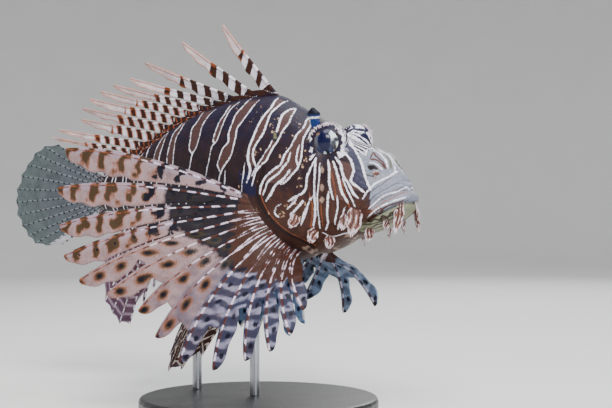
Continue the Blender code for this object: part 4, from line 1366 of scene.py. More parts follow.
def paint_pectoral(grid: FinGrid) -> Marks:
    """Broad blotched lobes above, eyed spots in the middle, and banded blue rays below."""
    ray, along, across, share = grid.ray, grid.along, grid.across, grid.share
    left = (1 - share) * grid.reach
    done = along - 0.24 * grid.reach
    fine, broad = wobble(grid.points, 5.5, 14), wobble(grid.points, 11.0, 15)
    near, lower = ray < BROAD_RAYS, ray >= UPPER_RAYS
    phase = 4.0 + np.mod(ray * 4.7, 9.0)
    bar = bars(along - 0.3 * across + 2.6 * broad, BLOTCH_STEP, 0.4, phase) + 1.3 * fine
    full = np.minimum(bar, (0.78 * grid.wide - across) * 0.8 + 1.1 * fine)
    far = spots(grid, EYED_STEP, 0.45, 1.6, phase * 1.4) + 0.3 * fine
    blotch = np.minimum(np.where(near, full, 2.1 - far), done)
    rim = np.minimum(np.where(near, full + 0.8, 2.9 - far), (share - 0.46) * 30)
    inner = np.where(near, np.minimum(full - 0.2, 0.52 * grid.reach - along), 1.15 - far)
    eyed = 0.9 - spots(grid, BLOTCH_STEP, 0.35, 1.0, phase)
    inner = np.maximum(inner, np.where(ray == BROAD_RAYS - 1, eyed, OUTSIDE))
    dots = 1.25 - spots(grid, DOT_STEP, 0.62, 1.3, 6.7 + ray * 2.3) + 0.3 * fine
    tip = np.where(ray >= 7, 2.6 - left - 0.5 * np.abs(across), OUTSIDE)
    inner = np.maximum(np.where(lower, dots, inner), tip)
    cross = bars(along + 0.2 * across + 1.8 * broad, BAND_STEP, 0.6, 3.0 + 2.9 * ray) + fine
    web = np.minimum(along - 2.5, (0.43 - 0.012 * ray - share) * grid.reach) + 0.8 * fine
    root = grid.flesh - along + 2.2 * broad
    fork = np.clip(1.35 * (1 - along / np.maximum(grid.flesh, 1)), 0, 1.35)
    forked = 0.2 + 0.34 * broad - np.abs(np.abs(across) - fork) + 0.16 * fine
    forked = np.minimum(forked, grid.flesh + 1 - along)
    shaft = 0.5 * (1 - 0.5 * share) + np.where(lower, 0.2, 0.0) - np.abs(across)
    dash = bars(along + 1.2 * fine, BAND_STEP, np.where(lower, 0.5, 0.4), 3.0 + 2.9 * ray)
    white = np.minimum(shaft, -dash)
    white = np.where(lower, white, np.minimum(white, 0.56 * grid.reach - along))
    thin = np.minimum(0.24 - np.abs(across), along - 0.5 * grid.reach)
    margin = np.minimum(0.2 - np.abs(grid.wide - across - 0.3), along - 0.5 * grid.reach)
    return {
        Mark.OLIVE: np.where(lower, OUTSIDE, blotch), Mark.HALO: np.where(lower, OUTSIDE, rim),
        Mark.GREY: np.where(lower, cross, OUTSIDE), Mark.NAVY: inner,
        Mark.WEB: np.where((ray >= 1) & (ray < 9), web, OUTSIDE), Mark.ROOT: root,
        Mark.BROWN: np.minimum(shaft + 0.05, dash),
        Mark.WHITE: np.maximum(np.where(along > grid.flesh, white, OUTSIDE),
                               np.where(ray >= 3, forked, OUTSIDE)),
        Mark.ORANGE: np.where(lower, OUTSIDE, np.maximum(thin, margin)),
        Mark.TINT: (ray - 5.5) / 3.0 + 0.3 * broad,
        Mark.PALE: np.where(lower, -cross, np.where(near, 1.5 - np.abs(across), OUTSIDE)),
    }


def paint_dotted(grid: FinGrid) -> Marks:
    """Rows of small dark dots on clear grey rays, with a paler lower edge."""
    last = grid.ray.max()
    down = np.abs(np.mod(grid.along + grid.ray * 2.3 + 2.5, 4.9) - 2.45)
    dot = 0.78 - np.hypot(down, grid.across - 0.3)
    dot = np.where(grid.share > 0.08, dot, OUTSIDE)
    edge = np.where(grid.ray >= last - 1, 1.0, OUTSIDE)
    shaft = 0.3 - np.abs(grid.across)
    return {Mark.DARK: dot, Mark.PALE: edge, Mark.WHITE: shaft,
            Mark.ROOT: 7.0 - grid.along, Mark.TINT: grid.share * 1.4 - 0.5}


def paint_anal(grid: FinGrid) -> Marks:
    """Pale slanting bars and dotted rays on a pink-purple fin."""
    bar = bars(grid.along + grid.ray * 1.5, 5.4, 0.3, 1.0)
    shaft = 0.45 - np.abs(grid.across)
    dot = 0.85 - spots(grid, 5.4, 0.1, 1.1, 3.5)
    return {Mark.PALE: bar, Mark.WHITE: np.minimum(shaft, -bars(grid.along, 5.4, 0.4)),
            Mark.DARK: dot, Mark.ROOT: 6 - grid.along, Mark.TINT: grid.share * 2 - 0.8}


def paint_pelvic(grid: FinGrid) -> Marks:
    """Rows of short pale dashes on brown."""
    fine = wobble(grid.points, 4.0, 18)
    bar = bars(grid.along + 0.8 * grid.across + grid.ray * 2.1, 5.6, 0.2, 2.0) + 0.4 * fine
    shaft = 0.5 - np.abs(grid.across)
    dot = 1.0 - spots(grid, 7.0, 0.5, 1.2, 4.0 + grid.ray) + 0.3 * fine
    return {Mark.WHITE: np.maximum(bar, np.minimum(shaft, -bars(grid.along, 5.6, 0.4))),
            Mark.DARK: dot, Mark.ROOT: 9 - grid.along, Mark.TINT: (grid.share - 0.93) * 6}


def paint_far_pelvic(grid: FinGrid) -> Marks:
    """Navy spots and a white leading shaft on pale blue grey."""
    dot = 1.2 - spots(grid, 8.5, 0.55, 1.3, 4.0 + grid.ray * 3.1)
    shaft = 0.75 - np.abs(grid.across)
    bar = bars(grid.along, 8.5, 0.35, 3.0)
    return {Mark.NAVY: dot, Mark.WHITE: np.minimum(shaft, -bar), Mark.ROOT: 7 - grid.along,
            Mark.TINT: grid.share}


SPINE_FINISH = LayeredFinish(
    "barred_spines", "fin", tone(206, 200, 212), tone(192, 176, 176),
    (
        Layer(Mark.WEB, tone(34, 22, 32), 0.5, 0.9),
        Layer(Mark.DARK, tone(50, 26, 20), 0.35, 0.7),
        Layer(Mark.ORANGE, tone(158, 82, 42), 0.25, 0.5, 0.75),
        Layer(Mark.WHITE, LILAC, 0.15, 0.4),
    ),
    mottle=0.3, subsurface=0.15,
)
PECTORAL_FINISH = LayeredFinish(
    "spotted_pectoral", "fin", tone(142, 118, 120), tone(66, 68, 90),
    (
        Layer(Mark.PALE, tone(152, 148, 174), 1.2, 1.8, 0.5),
        Layer(Mark.GREY, tone(28, 30, 52), 0.7, 1.8, 0.75),
        Layer(Mark.WEB, tone(10, 8, 20), 1.2, 1.6, 0.97),
        Layer(Mark.HALO, tone(132, 74, 36), 0.7, 2.0, 0.7),
        Layer(Mark.OLIVE, tone(50, 40, 24), 0.6, 2.0, 0.92),
        Layer(Mark.NAVY, tone(9, 10, 26), 0.35, 1.2, 0.95),
        Layer(Mark.ROOT, tone(58, 32, 22), 0.9, 3.0, 0.96),
        Layer(Mark.ORANGE, RUST, 0.2, 0.5, 0.7),
        Layer(Mark.BROWN, tone(72, 34, 26), 0.22, 0.6, 0.9),
        Layer(Mark.WHITE, tone(206, 192, 208), 0.16, 0.7, 0.92),
    ),
    mottle=0.45, subsurface=0.1,
)
FAR_PECTORAL_FINISH = replace(
    PECTORAL_FINISH, name="far_pectoral", tinted=tone(138, 160, 190),
    layers=(Layer(Mark.GREY, tone(34, 44, 78), 0.8, 1.6, 0.55), *PECTORAL_FINISH.layers[2:]),
)
DOTTED_FINISH = LayeredFinish(
    "dotted_tail", "fin", tone(82, 86, 94), tone(84, 96, 96),
    (
        Layer(Mark.PALE, tone(186, 184, 194), 0.5, 1.8, 0.8),
        Layer(Mark.ROOT, tone(60, 42, 46), 1.5, 2.0),
        Layer(Mark.WHITE, tone(150, 160, 166), 0.15, 0.3, 0.5),
        Layer(Mark.DARK, tone(22, 20, 32), 0.16, 0.3),
    ),
    mottle=0.4, subsurface=0.2,
)
ANAL_FINISH = LayeredFinish(
    "barred_anal_fin", "fin", tone(78, 46, 50), tone(92, 66, 88),
    (
        Layer(Mark.ROOT, tone(80, 50, 48), 1.2, 2.0),
        Layer(Mark.PALE, tone(170, 148, 166), 0.4, 1.2, 0.7),
        Layer(Mark.DARK, tone(62, 38, 44), 0.25, 0.5, 0.85),
        Layer(Mark.WHITE, LILAC, 0.15, 0.4, 0.9),
    ),
    subsurface=0.12,
)
PELVIC_FINISH = LayeredFinish(
    "barred_pelvic_fin", "fin", tone(62, 34, 24), tone(92, 100, 130),
    (
        Layer(Mark.ROOT, tone(86, 52, 42), 1.0, 2.0),
        Layer(Mark.DARK, tone(44, 28, 28), 0.4, 0.8, 0.85),
        Layer(Mark.WHITE, tone(222, 206, 200), 0.2, 0.6, 0.9),
    ),
    subsurface=0.12,
)
FAR_PELVIC_FINISH = LayeredFinish(
    "spotted_pelvic_fin", "fin", tone(66, 92, 128), tone(118, 146, 184),
    (
        Layer(Mark.ROOT, tone(84, 60, 60), 1.0, 2.0),
        Layer(Mark.NAVY, NIGHT, 0.4, 0.8),
        Layer(Mark.WHITE, LILAC, 0.2, 0.4),
    ),
    subsurface=0.12,
)


def pectoral(name: str, hand: float, pitch: Curve, spread: Curve, reach: Curve) -> Fan:
    """The great fan behind the gill opening, from a long slanting root.

    Args:
        name: the piece's name.
        hand: which side it is on.
        pitch: its rays' pitch.
        spread: how far they turn outwards.
        reach: their lengths.

    Returns:
        The fan.
    """
    return Fan(
        name, 14, hand,
        Curve((0, 84), (1, 65)), Curve((0, 22), (0.5, 20), (1, 11)), Curve((0, -3.5), (1, -31)),
        pitch, spread, reach,
        web=Curve((0, 0.14), (0.08, 0.2), (0.16, 0.3), (0.24, 0.45), (0.32, 0.7), (0.55, 0.8),
                  (0.7, 0.6), (1, 0.5)),
        lobe=Curve((0, 11), (0.25, 10), (0.6, 7), (1, 5)), shaft=0.9, ridge=0.9, root_half=3.4,
        paint=paint_pectoral,
        finish=PECTORAL_FINISH if hand == RIGHT else FAR_PECTORAL_FINISH,
        flesh=(Curve((0, 6), (0.1, 9), (0.23, 13), (0.385, 18), (0.62, 25), (1, 26))
               if hand == RIGHT else Curve((0, 2), (1, 5))),
        bulge=Curve((0, 0.03), (1, 0.14)), arch=Curve((0, 0.055), (0.15, 0.035), (1, 0.05)),
        lead=1.2, round_from=0.72, seed=11, rows=120, ripple=0.55,
    )


def pelvic(name: str, hand: float, pitch: Curve, reach: Curve) -> Fan:
    """A paired fin under the belly: one spine and its rays.

    Args:
        name: the piece's name.
        hand: which side it is on.
        pitch: its rays' pitch.
        reach: their lengths.

    Returns:
        The fan.
    """
    near = hand == RIGHT
    return Fan(
        name, 6, hand,
        Curve((0, 83), (1, 91)), Curve((0, 7), (1, 4.5)), Curve((0, -33), (1, -34)),
        pitch, Curve((0, 15), (1, 4.5)), reach,
        web=Curve((0, 0.9), (0.2, 0.97), (1, 1)) if near else Curve((0, 0.6), (0.3, 0.7), (1, 1)),
        lobe=Curve((0, 5), (1, 5)), shaft=0.9, ridge=0.8,
        root_half=1.6, paint=paint_pelvic if near else paint_far_pelvic,
        finish=PELVIC_FINISH if near else FAR_PELVIC_FINISH,
        bulge=Curve((0, 0.05), (1, 0.03)), round_from=0.8, seed=7, rows=80, ripple=0.4,
    )


MIDDLE = Curve((0, 0), (1, 0))
FANS = (
    Fan(
        "dressed_spiny_dorsal_fin", 13, RIGHT,
        Curve((0, 82.5), (1, 197)), MIDDLE,
        Curve((0, 47), (0.2, 46), (0.45, 40), (0.6, 34), (0.8, 24), (1, 14)),
        Curve((0, -46), (1 / 12, -30.6), (2 / 12, -19.3), (3 / 12, -14), (6 / 12, -11.4),
              (8 / 12, -9.9), (9 / 12, -8), (10 / 12, -8.2), (11 / 12, -14), (1, -25)),
        MIDDLE,
        Curve((0, 64), (1 / 12, 77), (2 / 12, 89), (3 / 12, 95), (6 / 12, 97), (8 / 12, 87),
              (9 / 12, 97), (10 / 12, 91), (11 / 12, 34), (1, 28)),
        web=Curve((0, 0.2), (1, 0.2)), lobe=Curve((0, 4.6), (0.7, 3.8), (0.82, 1.6), (1, 0.6)),
        shaft=1.15, ridge=1.1, root_half=1.1, paint=paint_spines, finish=SPINE_FINISH,
        round_from=0.55, sway=2.2, seed=3, rows=100, frill=0.1,
    ),
    Fan(
        "dressed_soft_dorsal_fin", 6, RIGHT,
        Curve((0, 204), (1, 215)), MIDDLE, Curve((0, 9), (1, 8)),
        Curve((0, -30), (1, -31)), MIDDLE, Curve((0, 35), (0.4, 33), (1, 22)),
        web=Curve((0, 1), (1, 1)), lobe=Curve((0, 1), (1, 0.4)),
        shaft=0.4, ridge=0.6, root_half=0.9, paint=paint_dotted, finish=DOTTED_FINISH,
        sway=0.3, seed=4, rows=60, ripple=0.2, frill=0.0,
    ),
    Fan(
        "dressed_caudal_fin", 13, RIGHT,
        Curve((0, 220), (0.5, 219), (1, 220)), MIDDLE, Curve((0, 8.2), (1, -7.4)),
        Curve((0, -27), (0.5, 3), (1, 29)), MIDDLE,
        Curve((0, 50), (0.12, 66), (0.3, 79), (0.55, 86), (0.75, 78), (0.9, 62), (1, 46)),
        web=Curve((0, 1), (1, 1)), lobe=Curve((0, 1), (1, 1)),
        shaft=0.42, ridge=0.6, root_half=2.0, paint=paint_dotted, finish=DOTTED_FINISH,
        sway=0.5, seed=5, ripple=0.4, frill=0.0,
    ),
    Fan(
        "dressed_anal_fin", 9, RIGHT,
        Curve((0, 166), (1, 196)), MIDDLE, Curve((0, -22), (1, -11)),
        Curve((0, 74), (0.3, 69), (1, 48)), MIDDLE,
        Curve((0, 22), (0.2, 42), (0.45, 66), (0.7, 61), (1, 40)),
        web=Curve((0, 0.6), (0.3, 0.82), (0.4, 1), (1, 1)), lobe=Curve((0, 2), (1, 1.5)),
        shaft=0.7, ridge=0.7, root_half=1.2, paint=paint_anal, finish=ANAL_FINISH,
        sway=0.6, seed=6, ripple=0.35,
    ),
    pelvic("dressed_pelvic_fin_right", RIGHT, Curve((0, 56), (0.5, 44), (1, 32)),
           Curve((0, 66), (0.4, 88), (1, 68))),
    pelvic("dressed_pelvic_fin_left", LEFT, Curve((0, 92), (0.5, 64), (1, 40)),
           Curve((0, 38), (0.4, 50), (1, 54))),
    pectoral(
        "dressed_pectoral_fin_right", RIGHT,
        Curve((0, -16), (0.154, 5.4), (0.308, 22), (0.385, 29.5), (0.54, 54), (0.77, 98), (1, 133)),
        Curve((0, 24), (0.5, 32), (1, 32)),
        Curve((0, 109), (0.23, 110), (0.385, 92), (0.5, 79), (0.615, 81), (0.77, 69), (0.92, 56),
              (1, 43)),
    ),
    pectoral(
        "dressed_pectoral_fin_left", LEFT,
        Curve((0, -12), (0.385, 8), (0.6, 22), (0.77, 34), (0.85, 48), (0.925, 84), (1, 122)),
        Curve((0, 22), (0.8, 22), (0.93, 34), (1, 34)),
        Curve((0, 106), (0.3, 100), (0.6, 76), (0.85, 46), (1, 41)),
    ),
)


def ovals(x: np.ndarray, y: np.ndarray,
          *each: tuple[tuple[float, float], tuple[float, float]]) -> np.ndarray:
    """About how many millimetres inside the nearest of some ovals each point lies.

    Args:
        x: the places across.
        y: the places up.
        each: an oval's middle, and its half width and half height.

    Returns:
        Millimetres, negative outside.
    """
    return np.max([(1 - np.hypot((x - middle[0]) / size[0], (y - middle[1]) / size[1])) * min(size)
                   for middle, size in each], axis=0)


EYE_FINISH = LayeredFinish(
    "glassy_eye", "eye", tone(52, 58, 88), tone(104, 112, 140),
    (
        Layer(Mark.GREY, tone(92, 92, 96), 0.4, 0.8, 0.8),
        Layer(Mark.WHITE, tone(222, 232, 248), 0.3, 0.7),
        Layer(Mark.BROWN, tone(140, 108, 66), 0.25, 0.4, 0.9),
        Layer(Mark.DARK, tone(22, 22, 38), 0.25, 0.8, 0.95),
        Layer(Mark.NAVY, tone(5, 9, 46), 0.3, 0.3),
    ),
    roughness=0.3, coat=0.32, grain=0.5, relief=0.01, subsurface=0.0, specular=0.15,
    coat_roughness=0.04,
)


@dataclass
class Eye:
    """A glossy eyeball: a tall navy pupil in a silvery iris with dark blotches."""

    form: BodyForm
    hand: float
    radius: float = 8.15
    bulge: float = 0.5
    rings: int = 110
    steps: int = 180

    def markings(self, x: np.ndarray, y: np.ndarray) -> Marks:
        """The pattern of the eye.

        Args:
            x: millimetres ahead of the middle of the pupil.
            y: millimetres above it.

        Returns:
            Millimetres for each mark.
        """
        ragged = wobble(np.stack([x, y, 0 * x], axis=-1), 3.0, 4) * 0.35
        white = ovals(x, y, ((5.2, 2.2), (3.6, 5.3)), ((5.8, -4.0), (2.0, 3.0)),
                      ((-0.4, -6.4), (1.0, 1.2)), ((2.4, -6.7), (1.1, 1.0)),
                      ((-5.8, -4.6), (0.7, 1.5)))
        blotch = ovals(x, y, ((4.2, -1.8), (1.3, 2.7)), ((5.3, 1.0), (1.0, 1.1)),
                       ((1.2, -5.9), (0.8, 1.3)))
        gold = np.maximum(ovals(x, y, ((5.1, -2.9), (0.5, 1.6))),
                          0.45 - np.abs(np.hypot(x + 4.3, y - 4.9) - 1.4))
        pupil = ovals(x, y, ((-0.1, 0.0), (3.6, 4.8)), ((-0.6, 4.9), (2.9, 1.8)))
        return {
            Mark.GREY: ovals(x, y, ((-5.4, -0.6), (1.7, 3.6))) + ragged,
            Mark.WHITE: white + ragged, Mark.BROWN: gold + 0.5 * ragged,
            Mark.DARK: blotch + ragged, Mark.NAVY: pupil + 0.4 * ragged, Mark.TINT: x / 9 + ragged,
        }

    def build(self) -> bpy.types.Object:
        """Make the ball about its own axis and dress it."""
        facing = np.radians(np.linspace(0, 180, self.rings))
        turn = np.linspace(0, math.tau, self.steps, endpoint=False)
        f, t = np.meshgrid(facing, turn, indexing="ij")
        axis, ahead = self.form.eye_axis(self.hand), self.form.eye_ahead(self.hand)
        radius = self.radius + self.bulge * ease(48, 20, np.degrees(f))
        x, y = radius * np.sin(f) * np.cos(t), radius * np.sin(f) * np.sin(t)
        points = (self.form.eye_centre(self.hand) + (radius * np.cos(f))[..., None] * axis
                  + x[..., None] * ahead + y[..., None] * UP)
        side = side_name(self.hand)
        found = {mark: cover.ravel() for mark, cover in self.markings(x, y).items()}
        made = make_mesh("eyeball_" + side, points.reshape(-1, 3),
                         ring_faces(self.rings, self.steps), found)
        EYE_FINISH.dress(made)
        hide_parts("eye_" + side)
        return made


@dataclass(frozen=True)
class Flap:
    """A soft frilled flap of the head: where it grows, its lean, length and width."""

    ring: float
    turn: float
    back: float
    down: float
    length: float
    width: float


FLAPS = (
    Flap(21, -9, 0.15, 0.8, 12.5, 6.0), Flap(26, -17, 0.25, 0.8, 7.5, 4.0),
    Flap(58, -17, 0.5, 0.6, 6.5, 4.2), Flap(55, -37, 0.4, 0.5, 6.5, 4.2),
    Flap(51, -55, 0.2, 0.4, 6.0, 4.0), Flap(13, 42, 0.3, -0.5, 4.0, 2.6),
    Flap(19, -66, 0.4, 0.8, 6.0, 4.0), Flap(10, -60, 0.4, 0.7, 4.0, 3.0),
    Flap(2, -30, 0.35, 1.6, 12.0, 3.6),
)
FLAP_FINISH = LayeredFinish(
    "frilled_flap", "skin", tone(118, 80, 70), tone(76, 42, 30),
    (
        Layer(Mark.DARK, tone(52, 26, 24), 0.3, 0.9, 0.9),
        Layer(Mark.WHITE, tone(210, 194, 202), 0.25, 0.8, 0.85),
    ),
    grain=0.6, subsurface=0.15,
)


def up_lean(draw: random.Random) -> np.ndarray:
    """A small random lean for a crest point."""
    return np.array([draw.uniform(-0.4, 0.4), draw.uniform(-0.4, 0.4), draw.uniform(0.0, 0.6)])


@dataclass
class Flaps:
    """All the frilled flaps of the head and the crest over each eye, as one piece."""

    form: BodyForm
    rows: int = 30
    columns: int = 26
    crest_points: int = 26
    crest_reach: float = 9.4

    def flap(self, each: Flap, hand: float) -> tuple[np.ndarray, np.ndarray, np.ndarray]:
        """One flap.

        Args:
            each: its sizes.
            hand: which side it is on.

        Returns:
            The sheet's points, its half thickness, and its share along at each point.
        """
        foot, out = self.form.spot(each.ring, each.turn, hand)
        way = unit(out * 0.7 + np.array([each.back, 0.0, -each.down]))
        across = unit(np.cross(way, out))
        share, over = np.meshgrid(np.linspace(0, 1, self.rows), np.linspace(-1, 1, self.columns),
                                  indexing="ij")
        lobes = 0.5 + 0.5 * np.cos(over * math.pi * (2 + each.length / 6) + each.ring)
        reach = each.length * (share * 1.2 - 0.25) * (1 - 0.3 * share * over**2)
        reach = reach + 0.2 * share**3 * each.length * (lobes - 0.5)
        round_off = np.sqrt(1 - np.clip((share - 0.55) / 0.52, 0, 1) ** 2)
        width = each.width * (0.24 + 0.42 * np.sin(math.pi * np.clip(share, 0, 0.55) / 1.1))
        width = width * round_off * (1 + 0.08 * np.sin(share * 14 + each.turn))
        cup = 0.45 * width * share * (over**2 - 0.3)
        ruffle = 0.4 * share * over**2 * np.sin(share * 11 + over * 3)
        droop = np.array([0.0, 0.0, -0.18 * each.length])
        points = (foot - out * 0.4 + way * reach[..., None] + across * (width * over)[..., None]
                  + out * (cup + ruffle)[..., None] + droop * (share**2)[..., None])
        half = 0.6 - 0.45 * share
        return points, half, share

    def crest(self, hand: float) -> list[tuple[np.ndarray, float]]:
        """The feet and heights of the small points along the upper rim of the eye."""
        centre, axis = self.form.eye_centre(hand), self.form.eye_axis(hand)
        ahead = self.form.eye_ahead(hand)
        draw = random.Random(17)
        made = []
        for k in range(self.crest_points):
            turn = math.radians(30 + k * 5 + draw.uniform(-3, 3))
            lean = math.radians(60 + draw.uniform(-4, 12))
            way = (math.cos(lean) * axis + math.sin(lean) * math.cos(turn) * ahead
                   + math.sin(lean) * math.sin(turn) * UP)
            made.append((np.stack([centre + way * self.crest_reach, unit(way + up_lean(draw))]),
                         draw.uniform(0.7, 2.0)))
        return made

    def build(self) -> bpy.types.Object:
        """Make every flap and crest point, and dress them."""
        bodies, faces, marks = [], [], {Mark.WHITE: [], Mark.DARK: [], Mark.TINT: []}
        count = 0
        joined = np.ones((self.rows - 1, self.columns - 1), bool)
        for hand in (RIGHT, LEFT):
            for each in FLAPS:
                points, half, share = self.flap(each, hand)
                body, squares, source = thick_sheet(points, half, joined)
                over = np.broadcast_to(np.linspace(-1, 1, self.columns), share.shape)
                near = np.maximum(share, np.abs(over))
                streak = np.cos(over * 8 + 2.4 * np.sin(share * 5 + each.ring))
                bodies.append(body)
                faces.append(squares + count)
                count += len(body)
                ragged = wobble(points, 3.5, 6)
                white = np.maximum((near - 0.84) * 5, (streak - 0.8) * 2) + 0.9 * ragged - 0.1
                marks[Mark.WHITE].append(white.ravel()[source])
                marks[Mark.DARK].append((-0.72 - streak + 0.3 * share).ravel()[source] * 2)
                marks[Mark.TINT].append((0.8 - share).ravel()[source])
            for foot, height in self.crest(hand):
                body, squares = self.point(foot[0], foot[1], height)
                bodies.append(body)
                faces.append(squares + count)
                count += len(body)
                tall = np.linalg.norm(body - foot[0], axis=1) / height
                marks[Mark.WHITE].append((tall - 0.3) * 2)
                marks[Mark.DARK].append(0.3 - tall)
                marks[Mark.TINT].append(tall)
        made = make_mesh("frilled_flaps", np.concatenate(bodies), np.concatenate(faces),
                         {mark: np.concatenate(values) for mark, values in marks.items()})
        FLAP_FINISH.dress(made)
        return made

    def point(self, foot: np.ndarray, way: np.ndarray,
              height: float) -> tuple[np.ndarray, np.ndarray]:
        """A small blunt cone.

        Args:
            foot: the middle of its base.
            way: which way it points.
            height: how tall it is.

        Returns:
            Its points and faces.
        """
        across = unit(np.cross(way, np.array([0.3, 0.2, 0.9])))
        up = np.cross(way, across)
        steps, levels = 10, 6
        points = []
        for level in range(levels):
            share = level / (levels - 1)
            radius = 0.52 * math.sqrt(max(1 - share**2, 0.01))
            for k in range(steps):
                turn = math.tau * k / steps
                points.append(foot + way * height * (share * 1.3 - 0.3)
                              + (across * math.cos(turn) + up * math.sin(turn)) * radius)
        return np.array(points), ring_faces(levels, steps)


TENTACLE_FINISH = LayeredFinish(
    "brow_tentacle", "skin", tone(24, 48, 104), tone(20, 40, 92),
    (Layer(Mark.DARK, tone(7, 10, 28), 0.4, 0.9), Layer(Mark.WHITE, LILAC, 0.2, 0.4)),
    coat=0.1, grain=0.8,
)


@dataclass
class Tentacle:
    """The short flap of a brow: the right one stands up, the left one lies outwards."""

    form: BodyForm
    hand: float
    height: float = 9.7
    ring_at: float = 4.6
    rows: int = 44
    columns: int = 24

    def build(self) -> bpy.types.Object:
        """Make the flap and dress it."""
        eye = self.form.eye_centre(self.hand)
        up, wide = unit(np.array([0.12, -0.12, 1.0])), np.array([1.0, 0.0, 0.0])
        root = eye + np.array([7.5, -1.2, 8.0])
        if self.hand == LEFT:
            up, wide = unit(np.array([0.5, 0.8, 0.3])), unit(np.array([0.8, -0.5, 0.0]))
            root = eye + up * 10.5
        share, over = np.meshgrid(np.linspace(-0.08, 1, self.rows),
                                  np.linspace(-1, 1, self.columns), indexing="ij")
        above = np.clip(share, 0, 1)
        width = 2.4 + 0.5 * np.sin(math.pi * above) - 0.7 * above**3
        knob = 0.95 * bell(share, 0.76, 0.2) - 0.3 * bell(share, 0.42, 0.1)
        rounded = np.sqrt(1 - np.clip((share - 0.75) / 0.29, 0, 1) ** 2)
        away = self.height * share - 1.0 * above * over**2
        points = root + up * away[..., None] + wide * ((width + knob) * rounded * over)[..., None]
        half = np.sqrt(np.clip(1 - 0.8 * over**2, 0, 1)) * (1.5 - 0.3 * share + knob) * rounded
        joined = np.ones((self.rows - 1, self.columns - 1), bool)
        body, faces, source = thick_sheet(points, np.maximum(half, 0.15), joined)
        marks = {
            Mark.WHITE: (0.55 - np.abs(away - self.ring_at)).ravel()[source],
            Mark.DARK: (away - self.ring_at - 1.6).ravel()[source],
            Mark.TINT: share.ravel()[source],
        }
        side = side_name(self.hand)
        made = make_mesh("tentacle_" + side, body, faces, marks)
        TENTACLE_FINISH.dress(made)
        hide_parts("brow_tentacle_" + side)
        return made


@dataclass(frozen=True)
class StandFinish:
    """Satin black paint on the base, brushed steel on the rods, with fine wear."""

    name: str
    slot: str
    colour: tuple[float, float, float]
    worn: tuple[float, float, float]
    roughness: float
    metallic: float
    stretch: float

    def dress(self, node: bpy.types.Object) -> None:
        """Give a carried-over solid this finish in its own slots."""
        paint = Paint(self.name)
        where = paint.node("ShaderNodeTexCoord", "Object")
        stretched = paint.node("ShaderNodeMapping", "Vector", Vector=where,
                               Scale=(1.0, 1.0, self.stretch))
        grain = paint.node("ShaderNodeTexNoise", "Fac", Vector=stretched, Scale=900.0,
                           Detail=5.0) - 0.5
        cloud = paint.noise(28.0)
        colour = (grain * 1.6 + cloud * 1.2 + 0.3).clamped().mix(self.colour, self.worn)
        paint.feed("Base Color", colour)
        paint.feed("Roughness", (grain * 0.3 + cloud * 0.2 + self.roughness).clamped())
        paint.feed("Metallic", self.metallic)
        paint.bump(grain, 0.05, 0.35)
        for slot in node.material_slots:
            slot.material = paint.material


BASE_FINISH = StandFinish("satin_black_base", "stand_base", tone(26, 26, 28), tone(46, 46, 50),
                          0.38, 0.0, 1.0)
ROD_FINISH = StandFinish("brushed_rods", "stand_rod", tone(168, 170, 176), tone(120, 122, 128),
                         0.28, 1.0, 0.04)


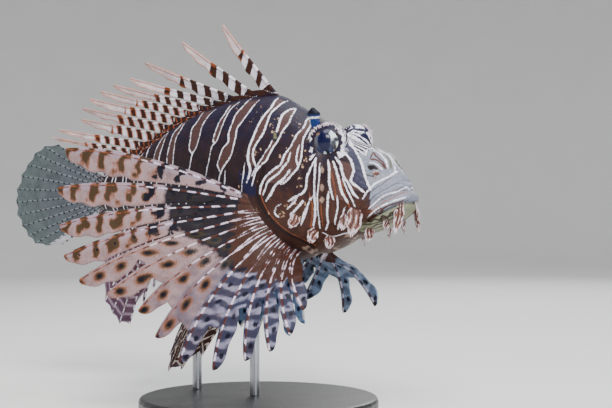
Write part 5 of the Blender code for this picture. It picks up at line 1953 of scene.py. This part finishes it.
@dataclass
class Studio:
    """The pale floor, the soft lights and the camera at the photograph's angle."""

    eye: tuple[float, float, float] = (0.50143, -0.55831, 0.11262)
    target: tuple[float, float, float] = (0.01934, 0.01623, 0.11262)
    lens: float = 82.463
    floor_radius: float = 2.6
    floor_spokes: int = 96
    flat_radius: float = 1.5
    lamps: tuple[tuple, ...] = (
        ("key_lamp", (0.6, -0.8, 1.0), 0.6, 27.0, (1.0, 0.98, 0.95)),
        ("top_lamp", (-0.1, 0.1, 1.3), 0.8, 13.0, (0.96, 0.98, 1.0)),
        ("fill_lamp", (0.95, -0.35, 0.4), 0.7, 5.0, (0.92, 0.96, 1.0)),
        ("back_lamp", (-0.4, 1.1, 0.8), 0.8, 8.0, (1.0, 1.0, 1.0)),
    )

    def floor(self) -> bpy.types.Object:
        """A pale floor that curves up at its edge, with a faint grain."""
        radii = np.concatenate([np.linspace(0.05, 1.0, 12), np.linspace(1.05, 2.2, 16)])
        turns = np.linspace(0, math.tau, self.floor_spokes, endpoint=False)
        r, t = np.meshgrid(radii * self.floor_radius / 2.2, turns, indexing="ij")
        rise = np.clip(r - self.flat_radius, 0, None) ** 2 * 0.9
        points = np.stack([r * np.cos(t), r * np.sin(t), rise], axis=-1).reshape(-1, 3)
        faces = ring_faces(len(radii), self.floor_spokes)[:, [0, 3, 2, 1]].tolist()
        faces.append(list(range(self.floor_spokes)))
        mesh = bpy.data.meshes.new("studio_floor")
        mesh.from_pydata([tuple(p) for p in points.tolist()], [], faces)
        mesh.polygons.foreach_set("use_smooth", [True] * len(mesh.polygons))
        made = bpy.data.objects.new("studio_floor", mesh)
        bpy.context.scene.collection.objects.link(made)
        paint = Paint("pale_floor")
        cloud = paint.noise(60.0)
        colour = (cloud * 1.2 + 0.5).clamped().mix(tone(222, 222, 220), tone(228, 228, 227))
        paint.feed("Base Color", colour)
        paint.feed("Roughness", (cloud * 0.2 + 0.75).clamped())
        mesh.materials.append(paint.material)
        return made

    def light(self, name: str, where: tuple[float, float, float], size: float,
              power: float, colour: tuple[float, float, float]) -> None:
        """A soft square lamp that looks at the fish.

        Args:
            name: the lamp's name.
            where: its place.
            size: its width.
            power: its watts.
            colour: its colour.
        """
        lamp = bpy.data.lights.new(name, "AREA")
        lamp.size, lamp.energy, lamp.color = size, power, colour
        made = bpy.data.objects.new(name, lamp)
        made.location = where
        look = Vector((0.0, 0.0, 0.12)) - made.location
        made.rotation_euler = look.to_track_quat("-Z", "Y").to_euler()
        bpy.context.scene.collection.objects.link(made)

    def build(self) -> None:
        """Set the floor, the lights, the soft surroundings and the camera."""
        self.floor()
        for lamp in self.lamps:
            self.light(*lamp)
        world = bpy.data.worlds.new("soft_studio")
        world.use_nodes = True
        ground = world.node_tree.nodes["Background"]
        ground.inputs["Color"].default_value = (0.86, 0.88, 0.92, 1.0)
        ground.inputs["Strength"].default_value = 0.3
        bpy.context.scene.world = world
        camera = bpy.data.cameras.new("camera")
        camera.lens, camera.sensor_width = self.lens, 36.0
        camera.clip_start = 0.01
        made = bpy.data.objects.new("camera", camera)
        made.location = self.eye
        look = Vector(self.target) - Vector(self.eye)
        made.rotation_euler = look.to_track_quat("-Z", "Y").to_euler()
        bpy.context.scene.collection.objects.link(made)
        bpy.context.scene.camera = made


def main() -> None:
    """Load the frame, then build and report each piece."""
    logging.basicConfig(level=logging.INFO, format="%(name)s: %(message)s")
    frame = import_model()
    form = BodyForm()
    makers = [Skin(form), *(RayedFin(fan) for fan in FANS), Flaps(form)]
    for hand in (RIGHT, LEFT):
        makers += [Eye(form, hand), Tentacle(form, hand)]
    for maker in makers:
        piece = maker.build()
        LOG.info("%s: %d faces", piece.name, len(piece.data.polygons))
    BASE_FINISH.dress(frame["nodes"]["stand_base"])
    for name in ("stand_rod_front", "stand_rod_rear"):
        ROD_FINISH.dress(frame["nodes"][name])
    Studio().build()


if __name__ == "__main__":
    main()
